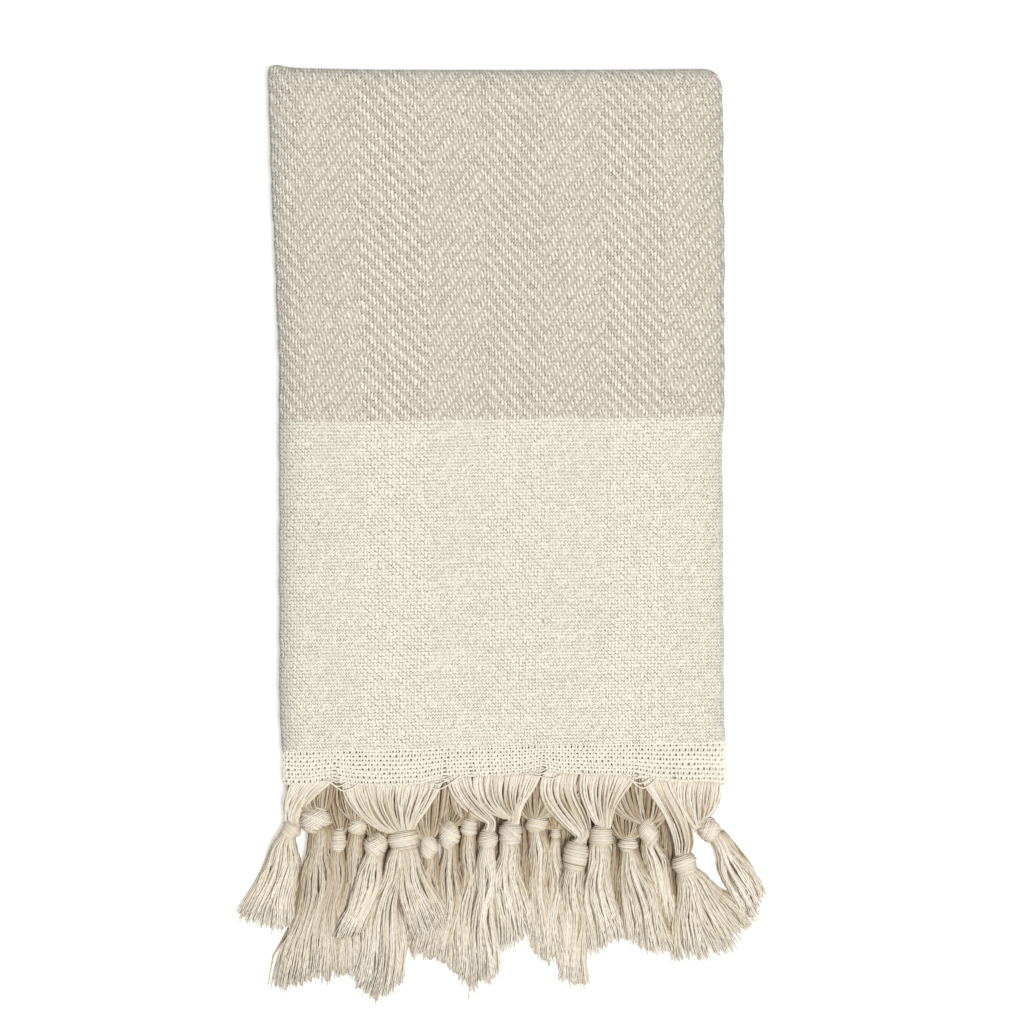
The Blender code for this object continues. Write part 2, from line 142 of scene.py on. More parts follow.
BUNDLES = table(
    Bundle,
    (1, -116.9, -163.9, 9.5, 10.5, 8, -15, -120.2, -94.3, 0, -25, 0),
    (2, -103.4, -158.6, 15, 14.4, 10, 0, -112, -99.8, 1, -18, 35),
    (3, -91, -170, 8.2, 14, 8, -5, -97, -87.6, 2, 5, 0),
    (4, -80.6, -162.5, 9.9, 9.5, 8, -5, -85.5, -76.7, 1, -12, 40),
    (5, -70.2, -172.2, 11.6, 13, 10, -8, -75.6, -64.6, 2, -30, 35),
    (6, -55.1, -169.6, 15.6, 13.8, 11, 5, -93.2, -33.3, 0, 6, 0),
    (7, -41.2, -173.4, 9.2, 14, 8, 10, -44.8, -36, 1, -35, 0),
    (8, -29.9, -166.9, 10.4, 15.6, 9, 5, -34.4, -25, 2, -25, 30),
    (9, -19, -162.5, 8.6, 11, 8, 0, -23.4, -14.6, 1, -10, 0),
    (10, -8.5, -169.2, 9.7, 12.2, 10, -5, -32.2, -20.1, 0, 14, 0),
    (11, 3.8, -166.1, 11.6, 14, 11, -8, -19.5, 20.1, 0, 8, -30),
    (12, 18.2, -160.9, 11, 9.5, 8, 5, 13.5, 25, 1, -20, 0),
    (13, 28.6, -166, 5.6, 7, 6, 0, 26.1, 31.5, 2, 0, 0),
    (14, 39.6, -178.5, 12.4, 17.6, 11, -5, 21.2, 40.4, 0, -6, 0),
    (15, 53.7, -167.6, 12.2, 12, 11, -12, 41, 72.3, 0, 12, 0),
    (16, 68.6, -171.8, 9.8, 10, 9, 8, 63, 71.6, 2, -14, 0),
    (17, 79.8, -165.2, 9.8, 15.6, 9, 8, 75, 83.8, 1, 30, -38),
    (18, 99.8, -182.9, 12, 13.6, 11, 12, 73.4, 92.1, 0, 8, 0),
    (19, 113.2, -163.9, 11, 14, 10, 30, 92.7, 119.6, 0, -20, 35))

# Each skirt: its tassel's number, its side of the knot, and the middles of its outer locks' tips.
Skirt = namedtuple("Skirt", "number side locks rows left_x left_y right_x right_y belly bow level")
SKIRTS = table(
    Skirt,
    (1, 0, 9, 2, -144.2, -211.8, -117, -218.5, 1.5, 0.6, 0),
    (2, 0, 11, 2, -125.1, -248.4, -102.8, -244.4, 0, 1.2, 0),
    (3, 0, 5, 1, -99, -243.9, -90, -242.6, 0, 0, 0),
    (4, 0, 5, 1, -91.5, -241.9, -81.5, -241, 0, 0, 0),
    (5, 0, 7, 1, -90.5, -221.6, -79, -219.7, 1, 0, 1),
    (6, -1, 10, 2, -82, -243, -56.2, -246.4, 12, -3.5, 0),
    (6, 1, 8, 2, -52.2, -221.7, -33.8, -212.9, 1.5, 0, 1),
    (7, 0, 5, 1, -51.2, -231, -40, -232.4, 0, 0, 0),
    (8, 0, 5, 1, -37.2, -233.2, -29, -238.7, 0, 0, 0),
    (9, 0, 5, 1, -26.6, -242, -19.2, -245.9, 0, 0, 0),
    (10, 0, 7, 2, -17.2, -247, -5.4, -245.9, 1.5, 0, 0),
    (11, 0, 8, 2, -2.2, -228.6, 17, -219.8, 1, 0, 0),
    (12, 0, 6, 1, 16.5, -230, 29.5, -236.5, 0, 0, 0),
    (13, 0, 5, 1, 23.5, -236, 36, -242.6, 0, 0, 0),
    (14, 0, 6, 1, 33.6, -245.3, 45.2, -249, 1, 0, 0),
    (15, 0, 8, 2, 47.8, -228, 64.8, -223.9, 1.5, 0, 0),
    (16, 0, 9, 2, 67.6, -222.2, 96, -231.6, 1, 0.8, 0),
    (17, 0, 6, 1, 83.6, -210, 98, -213, 0, 0.6, 0),
    (18, 0, 14, 2, 95.5, -235, 135, -214.5, 6, 2, 0),
    (19, 0, 8, 2, 131.6, -213, 142.8, -200.6, 1, 0.6, 0))

# The front fans: the points that lead the outer thread on the left to where it comes in over the knot, and the
# same for the one on the right.
FANS = {
    1: [(-120.7, -145.8), (-121.3, -151.8), (-120.2, -158.4), (-99.8, -141.9), (-108.6, -149.1), (-111.9, -157.3)],
    6: [(-89.4, -147.4), (-75.6, -163.9), (-61.9, -166.1), (-36.6, -147.4), (-46.5, -155.7), (-49.2, -163.9)],
    10: [(-30.5, -145.8), (-20.6, -155.7), (-10.7, -159.5), (-16.8, -144.7), (-9.1, -150.7), (-5.2, -157.3)],
    11: [(-19.5, -147.4), (-8.5, -156.2), (1.9, -157.9), (17.9, -141.9), (12.4, -146.3), (9.6, -154)],
    14: [(12.4, -145.8), (29.4, -159.5), (39.3, -167.2), (39.9, -144.7), (47.6, -150.2), (47.6, -162.8)],
    15: [(38.8, -144.7), (46.5, -155.7), (52, -162.3), (69.6, -141.9), (61.3, -147.4), (59.7, -159.5)],
    18: [(77.8, -144.7), (90.5, -154), (93.8, -170.5), (94.3, -144.7), (103.7, -155.7), (104.2, -170.5)],
    19: [(90.5, -147.4), (98.2, -158.4), (105.3, -163.4), (120.2, -149.1), (115.8, -155.1), (110.3, -158.4)],
}


def smooth(share):
    """A soft step from 0 to 1: 3 s^2 - 2 s^3 of the share, clipped."""
    share = np.clip(share, 0.0, 1.0)
    return share * share * (3.0 - 2.0 * share)


def read(rows, at):
    """A table's value at a place, straight between its rows."""
    return np.interp(at, *zip(*rows))


def unit(vectors):
    """Vectors of length one, the same way."""
    return vectors / (np.linalg.norm(vectors, axis=-1, keepdims=True) + 1e-12)


def shares(count):
    """Even steps from 0 to 1."""
    return np.linspace(0.0, 1.0, count)


def scattered(rng, count, spread, middle=0.0):
    """A column of random numbers, one for each yarn, spread round a middle one."""
    return rng.normal(middle, spread, (count, 1))


def between(rng, count, low=0.0, high=PHASES):
    """A column of random numbers, one for each yarn, evenly over a range."""
    return rng.uniform(low, high, (count, 1))


def section(across, lift):
    """The cloth's section: x and the height over the front panel's middle for a distance across from the left
    flap's selvedge, lifted off the middle surface along the face. The flaps run straight, 2 radii lower, and a
    half circle joins each to the panel."""
    left_turn = np.clip((across - FLAP) / SIDE_RADIUS, 0.0, math.pi) - math.pi / 2
    right_turn = np.clip((across - PANEL_START - PANEL) / SIDE_RADIUS, 0.0, math.pi)
    x = (MIDDLE_X - FLAP_GAP / 2 - np.clip(across, 0.0, FLAP) - SIDE_RADIUS * np.cos(left_turn)
         + np.clip(across - PANEL_START, 0.0, PANEL) + SIDE_RADIUS * np.sin(right_turn)
         - np.clip(across - PANEL_START - PANEL - SIDE_TURN, 0.0, FLAP))
    height = SIDE_RADIUS * (np.sin(left_turn) - 1.0) - SIDE_RADIUS * (1.0 - np.cos(right_turn))
    on_left = across < ACROSS / 2
    x = x + lift * np.where(on_left, -np.cos(left_turn), np.sin(right_turn))
    height = height + lift * np.where(on_left, np.sin(left_turn), np.cos(right_turn))
    return x, height


def weft_y(from_end, x):
    """The height up the towel of a weft: straight between the open end, the band's top, the beige's edge and the
    top fold's start, each at its own height there."""
    open_end = read(OPEN_END, x)
    band_top = read(BAND_TOP, x)
    beige = read(BEIGE_EDGE, x)
    in_band = np.minimum(from_end / BAND_DEPTH, 1.0)
    in_cream = np.clip((from_end - BAND_DEPTH) / (BEIGE_START - BAND_DEPTH), 0.0, 1.0)
    in_beige = np.clip((from_end - BEIGE_START) / (STRAIGHT - BEIGE_START), 0.0, 1.0)
    return (open_end + in_band * (band_top - open_end) + in_cream * (beige - band_top)
            + in_beige * (TOP_FOLD_Y - TOP_RADIUS - beige))


def unevenness(x, y):
    """Small waves of the surface, in millimetres: a sum of long slanting sines and one crease over the gap
    between the flaps behind."""
    waves = (0.10 * np.sin(x / 13.0 + 0.6 * np.sin(y / 60.0)) + 0.08 * np.sin(x / 7.3 + y / 90.0 + 1.0)
             + 0.08 * np.sin(y / 17.0 + x / 70.0))
    crease = -0.16 * np.exp(-((x - MIDDLE_X - 1.5 * np.sin(y / 50.0)) / 3.0) ** 2)
    return waves + crease


def rounding(x, y, left, right):
    """The share of its height that the stack keeps: it thins softly towards both side folds and the top one, on
    a quarter ellipse over the soft margin."""
    side = np.clip(np.maximum(1.0 - (x - left) / SOFT_LEFT, 1.0 - (right - x) / SOFT_RIGHT), 0.0, 0.98)
    top = np.clip(1.0 - (TOP_FOLD_Y - y) / SOFT_TOP, 0.0, 0.98)
    inside = np.sqrt(np.maximum(1.0 - side ** 2 - top ** 2, 0.04))
    return 1.0 - THINNING * (1.0 - inside)


def ragged_edge(y, phase):
    """How far a side fold bulges at a height: three sines of unlike length."""
    return (0.16 * np.sin(y / 2.3 + phase) + 0.14 * np.sin(y / 4.1 + 2.0 * phase)
            + 0.12 * np.sin(y / 11.0 + 3.0 * phase))


def towel_point(across, along, lift=0.0):
    """A point of the cloth, by its distance across and along it and its lift off the middle surface, in
    millimetres. The section turns over the top fold on a radius that grows with its height in the stack, and
    x is spread between the two edges at that height."""
    x, height = section(across, lift)
    turn = np.clip((along - STRAIGHT) / TOP_RADIUS, 0.0, math.pi)
    radius = TOP_RADIUS + height
    z = TOP_CENTRE_Z + np.cos(turn) * radius
    from_end = np.minimum(np.minimum(along, ALONG - along), STRAIGHT)
    nominal_y = OPEN_END_Y + from_end + np.sin(turn) * radius
    share = (x - LEFT_FOLD_X) / (RIGHT_FOLD_X - LEFT_FOLD_X)
    left = read(LEFT_EDGE, nominal_y) - ragged_edge(nominal_y, 1.0)
    right = read(RIGHT_EDGE, nominal_y) + ragged_edge(nominal_y, 2.2)
    new_x = left + share * (right - left)
    y = weft_y(from_end, new_x) + np.sin(turn) * radius
    to_top = smooth((nominal_y - TOP_FOLD_Y + TOP_REACH) / TOP_REACH)
    y = y + to_top * (read(TOP_EDGE, new_x) - TOP_FOLD_Y)
    raised = unevenness(new_x, y)
    for swell in SWELLS:
        raised = raised + swell.height * np.exp(
            -((new_x - swell.x) / swell.across) ** 2 - ((y - swell.y) / swell.along) ** 2)
    in_stack = np.clip((z - LAYER_Z[-1]) / (LAYER_Z[0] - LAYER_Z[-1]), 0.0, 1.0)
    z = LAYER_Z[-1] + (z - LAYER_Z[-1]) * rounding(new_x, y, left, right)
    return np.stack(np.broadcast_arrays(new_x, y, z + raised * in_stack), axis=-1)


def warp_number(across):
    """Which warp lies at a distance across: straight between the places where the herringbone turns."""
    places = np.array(TURN_PLACES) - PANEL_X
    numbers = FIRST_TURN + WARPS_PER_STRIPE * np.arange(len(places))
    places = np.concatenate([[0.0], places, [ACROSS]])
    numbers = np.concatenate([[numbers[0] - places[1] / WARP_PITCH], numbers,
                              [numbers[-1] + (ACROSS - places[-2]) / WARP_PITCH]])
    return np.interp(across, places, numbers)


def weft_number(along):
    """Which weft lies at a distance along: the two halves of the cloth mirror each other."""
    half = ALONG / 2
    from_end = np.minimum(along, ALONG - along)
    middle = BAND_WEFTS + CREAM_WEFTS + BEIGE_WEFTS
    number = np.interp(from_end, [0.0, BAND_DEPTH, BEIGE_START, half],
                       [0.0, BAND_WEFTS, BAND_WEFTS + CREAM_WEFTS, middle])
    return np.where(along <= half, number, 2 * middle - number)


# ---- meshes ----
def mesh_piece(name, points, loops, totals, uvs, material, deep=None):
    """A mesh piece from whole arrays: points in millimetres, the faces' corners one after another, each face's
    count of corners, a place on the UV map for each corner, and for yarns each point's painted shade."""
    mesh = bpy.data.meshes.new(name)
    mesh.vertices.add(len(points))
    mesh.loops.add(len(loops))
    mesh.polygons.add(len(totals))
    starts = np.concatenate([[0], np.cumsum(totals)[:-1]])
    for target, key, values, kind in (
            (mesh.vertices, "co", points * MM, np.float32), (mesh.loops, "vertex_index", loops, np.int32),
            (mesh.polygons, "loop_start", starts, np.int32), (mesh.polygons, "loop_total", totals, np.int32),
            (mesh.polygons, "use_smooth", np.ones(len(totals)), bool)):
        target.foreach_set(key, values.astype(kind).ravel())
    mesh.uv_layers.new(name="Threads").uv.foreach_set("vector", uvs.astype(np.float32).ravel())
    if deep is not None:
        mesh.attributes.new("Deep", "FLOAT", "POINT").data.foreach_set("value", deep.astype(np.float32))
    mesh.update()
    mesh.validate()
    piece = bpy.data.objects.new(name, mesh)
    bpy.context.scene.collection.objects.link(piece)
    mesh.materials.append(material)
    return piece


def grid_faces(rows, columns):
    """The four corners of each cell of a grid of points, rows after rows."""
    corner = (np.arange(rows - 1)[:, None] * columns + np.arange(columns - 1)).ravel()
    return np.stack([corner, corner + 1, corner + columns + 1, corner + columns], axis=1)


def with_height(plan, z):
    """Points in plan, with their heights."""
    return np.concatenate([plan, np.broadcast_to(z, plan.shape[:-1])[..., None]], axis=-1)


Yarns = namedtuple("Yarns", "points loops totals uvs deep")


def yarns(routes, radii, sides, reference=(0.0, 0.0, 1.0), flatness=1.0, first=0, deep=0.0):
    """Yarns along many routes at once. Each is a ring of points round its route: the route's point, plus the
    radius times cosine of the angle sideways and sine of it, times the flatness, upwards. Sideways is the cross
    product of the heading and the reference. Both ends are closed, and no yarn dips below the floor. The UV
    map has the yarn's number plus the share of the way round, and the distance along in millimetres; deep is
    each point's painted shade, from 0 to 1, mostly for how deep it lies among the others."""
    count, length = routes.shape[:2]
    radii = np.broadcast_to(radii, (count, length))
    routes = with_height(routes[..., :2], np.maximum(routes[..., 2], radii * flatness))
    deep = np.clip(np.broadcast_to(deep, (count, length)), 0.0, 1.0).repeat(sides)
    heading = unit(np.gradient(routes, axis=1))
    side = unit(np.cross(heading, reference))
    up = np.cross(side, heading)
    angle = np.linspace(0.0, 2 * math.pi, sides, endpoint=False)[:, None]
    ring = np.cos(angle) * side[:, :, None] + flatness * np.sin(angle) * up[:, :, None]
    points = (routes[:, :, None] + radii[:, :, None, None] * ring).reshape(-1, 3)
    step = np.linalg.norm(np.diff(routes, axis=1), axis=2)
    distance = np.concatenate([np.zeros((count, 1)), np.cumsum(step, axis=1)], axis=1)

    start = (np.arange(count)[:, None, None] * length + np.arange(length - 1)[:, None]) * sides
    here = start + np.arange(sides)
    following = start + (np.arange(sides) + 1) % sides
    quads = np.stack([here, here + sides, following + sides, following], axis=-1).reshape(-1, 4)
    u = first + np.arange(count)[:, None, None] + 0.01 + 0.98 * np.arange(sides + 1) / sides
    (u_here, u_next), (v_here, v_next) = (u[..., :-1], u[..., 1:]), (distance[:, :-1, None], distance[:, 1:, None])
    corners = ((u_here, v_here), (u_here, v_next), (u_next, v_next), (u_next, v_here))
    quad_uv = np.stack([np.stack(np.broadcast_arrays(*corner), -1) for corner in corners], axis=-2).reshape(-1, 2)
    base = np.arange(count)[:, None] * length * sides
    front = base + np.arange(sides)
    back = base + (length - 1) * sides + np.arange(sides)[::-1]
    caps = np.concatenate([front, back])
    cap_u = np.tile(first + np.arange(count) + 0.5, 2).repeat(sides)
    cap_v = np.concatenate([distance[:, 0], distance[:, -1]]).repeat(sides)
    return Yarns(points, np.concatenate([quads.ravel(), caps.ravel()]),
                 np.concatenate([np.full(len(quads), 4), np.full(len(caps), sides)]),
                 np.concatenate([quad_uv, np.stack([cap_u, cap_v], -1)]), deep)


def joined(name, parts, material):
    """Several lots of yarns as one mesh piece."""
    offsets = np.cumsum([0] + [len(part.points) for part in parts[:-1]])
    parts = [part._replace(loops=part.loops + offset) for part, offset in zip(parts, offsets)]
    points, loops, totals, uvs, deep = (np.concatenate(lots) for lots in zip(*parts))
    return mesh_piece(name, points, loops, totals, uvs, material, deep)


# ---- the sheet ----
PANEL_STEPS, FLAP_STEPS, SIDE_TURN_STEPS = 76, 24, 8
FRONT_STEPS, TOP_TURN_STEPS, BACK_STEPS = 104, 12, 56


def stations(ends, steps):
    """Places along several stretches in a row: even steps from each end to the next."""
    return np.interp(np.arange(sum(steps) + 1), np.cumsum([0, *steps]), ends)


def make_sheet(material, thickness):
    """The herringbone from one band to the other, as one folded sheet: towel_point over a grid of distances
    across and along, closer together at the folds."""
    across = stations((0.0, FLAP, PANEL_START, PANEL_START + PANEL, ACROSS - FLAP, ACROSS),
                      (FLAP_STEPS, SIDE_TURN_STEPS, PANEL_STEPS, SIDE_TURN_STEPS, FLAP_STEPS))
    along = stations((BAND_DEPTH, STRAIGHT, STRAIGHT + TOP_TURN, ALONG - BAND_DEPTH),
                     (FRONT_STEPS, TOP_TURN_STEPS, BACK_STEPS))
    points = towel_point(across[None, :], along[:, None]).reshape(-1, 3)
    quads = grid_faces(len(along), len(across))
    numbers = np.stack(np.broadcast_arrays(warp_number(across)[None, :], weft_number(along)[:, None]), axis=-1)
    sheet = mesh_piece("cloth_sheet", points, quads.ravel(), np.full(len(quads), 4),
                       numbers.reshape(-1, 2)[quads.ravel()], material)
    shell = sheet.modifiers.new("thickness", "SOLIDIFY")
    shell.thickness = thickness
    shell.offset = 0.0
    shell.use_even_offset = True
    return sheet


# ---- the plain bands ----
BAND_WARP_RADIUS = 0.73
BAND_WEFT_RADIUS = 0.885
BAND_FLATNESS = 0.62
BAND_SIDES = 5
BAND_RISE = 0.28             # how far a yarn rises and dips over and under the others
FIRST_WEFT = 0.75            # from the open end to the first weft's middle
BAND_OVERLAP = 1.2           # hidden in the sheet's end
BAND_OUTSET = 0.4            # how far the warps come out past the open end, into the fans
NOTCHES = (-93.4, -32.6, 21.0, 73.2)     # where the fans part
LOOPS_PER_NOTCH = 3
LOOP_RADIUS = 0.42
LOOP_POINTS = 20
DIP_SHADE = 0.22              # painted shade on a yarn where it dips under another
FLAP_SHADE = 0.15             # painted shade on the flaps, which show through the holes
WARP_SWAY, WEFT_SWAY = 0.17, 0.10    # how far a yarn leans aside between two that it crosses
FLAP_SHIFT = 0.33            # how far the flaps' warps lie aside, in warps, so that they fill the panel's holes
NOTCH_PULL = 0.07            # how far the warps at the open end are drawn to their bundle, of their distance
PULL_FADE = 1.6              # the power by which that pull fades up the band


def drawn_to_bundles(x):
    """How far the fringe draws each warp of the front panel sideways at the open end."""
    pull = np.zeros_like(x)
    for bundle in BUNDLES:
        if bundle.layer == 0:
            inside = (x >= bundle.fan_left - 0.5) & (x <= bundle.fan_right + 0.5)
            pull = np.where(inside, NOTCH_PULL * ((bundle.fan_left + bundle.fan_right) / 2 - x), pull)
    return pull


def band_warps():
    """The distance across of each warp of the cloth, evenly spaced."""
    count = round(ACROSS / WARP_PITCH)
    return (np.arange(count) + 0.5) * ACROSS / count


def alternate(count):
    """A column of 1, -1, 1 and so on, for yarns that lie over and under by turns."""
    return np.where(np.arange(count) % 2 == 0, 1.0, -1.0)[:, None]


def band_point(across, along, lift, at_front):
    """towel_point, with the front panel's warps drawn to their bundles near the open end."""
    to_end = np.clip(1.0 - along / BAND_DEPTH, 0.0, 1.0) ** PULL_FADE
    on_panel = (across > PANEL_START) & (across < PANEL_START + PANEL)
    pulled = across + np.where(on_panel, drawn_to_bundles(PANEL_X + across), 0.0) * to_end * at_front
    return towel_point(pulled, along if at_front else ALONG - along, lift)


def stray_loops(rng, first):
    """Thin threads that hang across a notch: each leaves the cloth on one side, sags by a sine and comes back
    to it on the other side, a little over the fringe."""
    middle = np.repeat(NOTCHES, LOOPS_PER_NOTCH)[:, None]
    count = len(middle)
    wide = np.tile(np.linspace(0.25, 1.0, LOOPS_PER_NOTCH), len(NOTCHES))[:, None]
    start = middle - between(rng, count, 6.0, 12.0) * wide
    end = middle + between(rng, count, 6.0, 14.0) * wide
    along = shares(LOOP_POINTS)
    x = start + (end - start) * along
    sag = between(rng, count, 4.5, 6.5) * wide * np.sin(math.pi * along ** between(rng, count, 0.6, 1.7))
    sag = sag + scattered(rng, count, 0.3) * np.sin(along * 9.0)
    y = read(OPEN_END, x) + 1.0 - sag
    z = LAYER_Z[0] + 0.5 + 1.1 * np.sqrt(np.sin(math.pi * along))
    return yarns(with_height(np.stack([x, y], axis=-1), z), LOOP_RADIUS, 4, first=first)


def band_shade(across, lift):
    """How much painted shade the band's yarns get: on the panel the more the further they dip, and more on the flaps.
    """
    on_panel = (across > PANEL_START - SIDE_TURN) & (across < PANEL_START + PANEL + SIDE_TURN)
    return np.where(on_panel, DIP_SHADE * (0.5 - 0.5 * lift / BAND_RISE), FLAP_SHADE)


def make_band(name, material, at_front, rng):
    """One end's plain weave, yarn by yarn. A warp's lift over the middle is the rise times the cosine of its
    way along in wefts, and turns over from one warp to the next; a weft's lift is the opposite one. Each yarn
    leans aside by the sine of it, so that every second hole opens. The warps stand unevenly and the wefts
    wander. The flaps' wefts follow the panel's half a step further up, and their warps lie between the panel's.
    The last weft lies in the sheet's end. In front, stray threads loop across the notches between the bundles."""
    places = band_warps()
    warps, wefts = len(places), BAND_WEFTS + 1
    pitch = (BAND_DEPTH - FIRST_WEFT) / BAND_WEFTS
    fine = 0.5 if at_front else 1.0
    along = np.concatenate([[-BAND_OUTSET], FIRST_WEFT + np.arange(0.0, BAND_WEFTS + 0.01, fine) * pitch,
                            [BAND_DEPTH + BAND_OVERLAP]])
    angle = math.pi * (along - FIRST_WEFT) / pitch
    lift = BAND_RISE * np.cos(angle) * alternate(warps)
    lift[:, [0, -1]] = 0.0
    stand = scattered(rng, warps, 0.07) + 0.12 * np.sin(along / 3.0 + between(rng, warps))
    stand[[0, -1]] = 0.0
    stand = stand + WARP_SWAY * np.sin(angle) * alternate(warps) * ((along > FIRST_WEFT) & (along < BAND_DEPTH))
    warp_size = BAND_WARP_RADIUS * scattered(rng, warps, 0.08, 1.0)
    from_middle = places - ACROSS / 2
    aside = np.where(np.abs(from_middle) > PANEL / 2 + SIDE_TURN, -FLAP_SHIFT * WARP_PITCH * np.sign(from_middle), 0.0)
    parts = [yarns(band_point((places + aside)[:, None] + stand, along[None, :], lift, at_front), warp_size,
                   BAND_SIDES, flatness=BAND_FLATNESS, deep=band_shade(places[:, None], lift))]

    steps = np.arange(0.0, warps - 1 + 0.01, fine)
    across = np.interp(steps, np.arange(warps), places)[None, :]
    x = section(across, 0.0)[0]
    wander = sum(between(rng, wefts, 0.06, 0.20) * np.sin(x / length + between(rng, wefts))
                 for length in (4.0, 9.0, 23.0))
    wander = wander + 0.35 * np.sin(x / 8.5) * np.linspace(1.0, 0.0, wefts)[:, None]
    on_flap = smooth(np.abs(across - ACROSS / 2) - PANEL / 2)
    heights = (FIRST_WEFT + (np.arange(wefts)[:, None] + 0.5 * on_flap) * pitch + wander
               + WEFT_SWAY * np.sin(math.pi * steps) * alternate(wefts))
    lift = -BAND_RISE * np.cos(math.pi * steps) * alternate(wefts)
    room = (read(BAND_TOP, x) - read(OPEN_END, x)) / BAND_DEPTH
    weft_size = room * BAND_WEFT_RADIUS * (1.0 + 0.08 * np.sin(across / 5.0 + between(rng, wefts)))
    parts.append(yarns(band_point(across, heights, lift, at_front), weft_size, BAND_SIDES,
                       flatness=BAND_FLATNESS, first=warps, deep=band_shade(across, lift)))
    if at_front:
        parts.append(stray_loops(rng, first=warps + wefts))
    return joined(name, parts, material)


# ---- the fringe ----
THREAD_RADIUS = 0.66         # a warp thread where it leaves the cloth
STRAND_RADIUS = 0.52         # a strand of a skirt
WRAP_RADIUS = 0.60           # a turn of a knot
WRAP_STEP = 1.42             # from one turn to the next, in their radii
FAN_POINTS = 14
STALK_POINTS = 6
STRAND_POINTS = 16
WRAP_POINTS = 26
STRANDS_PER_LOCK = 20
FAN_SIDES = (5, 4)           # of a front thread and of one behind
FAN_LAYERS = (3, 2)          # in a front fan and in one behind
FAN_STEP = 0.5               # how far each lies below the one over it
FAN_EDGE = 0.4               # how far outside its ends a fan still takes a warp
REAR_REACH = 32.0            # how far off a rear knot takes its threads
FAN_NUMBERS = 100            # more than the threads in any fan's layer
NECK = 0.34                  # half the width of the threads going into a knot, of its width
SECOND_LEVEL = 3.2
ROOT_SPREAD = 0.40
PARTING = -0.35              # two skirts of one knot overlap at its foot
LEAVING = 0.3
ROOT_SHIFT = {1: -1.2, 2: 2.8, 19: 2.4}   # how far right of its knot's middle a tassel's skirt comes out
TIP_SPREAD = 1.8             # how far the strands spread past the middles of the outer locks
CLUMPING = 0.18              # how far a hank's strands draw together
HANK = 5.2                   # the width of a hank of strands, two of the solids' locks
LOW_SKIRT, HIGH_SKIRT = 3.4, 5.4   # how high a skirt's strands are heaped at its tips, in one row or two
FLARE = 0.11                 # how far a skirt bulges sideways halfway down, of its width at the tips
STRAYS = 0.04                # the share of strands that stray
BARREL = 0.84                # how much narrower a knot is at its ends
KNOT_END = 0.93
KNOT_WIDER, KNOT_LONGER = 1.16, 1.08       # than the solids, which stay inside the turns
CROSSING_STRANDS = 6
PASSING_FROM, PASSING_TO = -104.0, 99.0    # where strands pass behind the knots
SEE_THROUGH = (-44.8, -33.8, 44.3, 58.6)   # and where they leave gaps
SEE_THROUGH_HALF = 2.0
REAR_SHADE = 0.34             # how much more painted shade the skirts behind get on the left, away from the light
GOLDEN_ANGLE = math.pi * (3.0 - math.sqrt(5.0))


def directions(bundle):
    """The way down the knot and the way to its right, in plan."""
    lean = math.radians(bundle.lean)
    return np.array([math.sin(lean), -math.cos(lean)]), np.array([math.cos(lean), math.sin(lean)])


def fan_starts(bundle, rng):
    """Where the bundle's threads leave the cloth, as rows of x, y, z. In front these are the panel's warps;
    behind, the bundles of a layer share its width between them."""
    if bundle.layer == 0:
        places = band_warps()
        places = places[(places > PANEL_START) & (places < PANEL_START + PANEL)]
        x = PANEL_X + places
        chosen = (x > bundle.fan_left - FAN_EDGE) & (x < bundle.fan_right + FAN_EDGE)
        return band_point(places[chosen], np.full(chosen.sum(), 0.5), 0.0, True)
    feet = sorted(other.x for other in BUNDLES if other.layer == bundle.layer)
    place = feet.index(bundle.x)
    left = (feet[place - 1] + bundle.x) / 2 if place else LEFT_FOLD_X + 3.0
    right = (feet[place + 1] + bundle.x) / 2 if place + 1 < len(feet) else RIGHT_FOLD_X - 2.0
    x = np.arange(max(left, bundle.x - REAR_REACH), min(right, bundle.x + REAR_REACH), WARP_PITCH)
    x = x + rng.normal(0, 0.2, len(x))
    z = np.full(len(x), LAYER_Z[bundle.layer])
    if bundle.layer == 2:
        z[::2] = LAYER_Z[3]
    return np.stack([x, read(OPEN_END, x) + 1.5, z], axis=-1)


def bezier(start, first, second, end, count):
    """Cubic curves: (1-t)^3 start + 3 (1-t)^2 t first + 3 (1-t) t^2 second + t^3 end."""
    t = shares(count)[None, :, None]
    return ((1 - t) ** 3 * start[:, None] + 3 * (1 - t) ** 2 * t * first[:, None]
            + 3 * (1 - t) * t ** 2 * second[:, None] + t ** 3 * end[:, None])


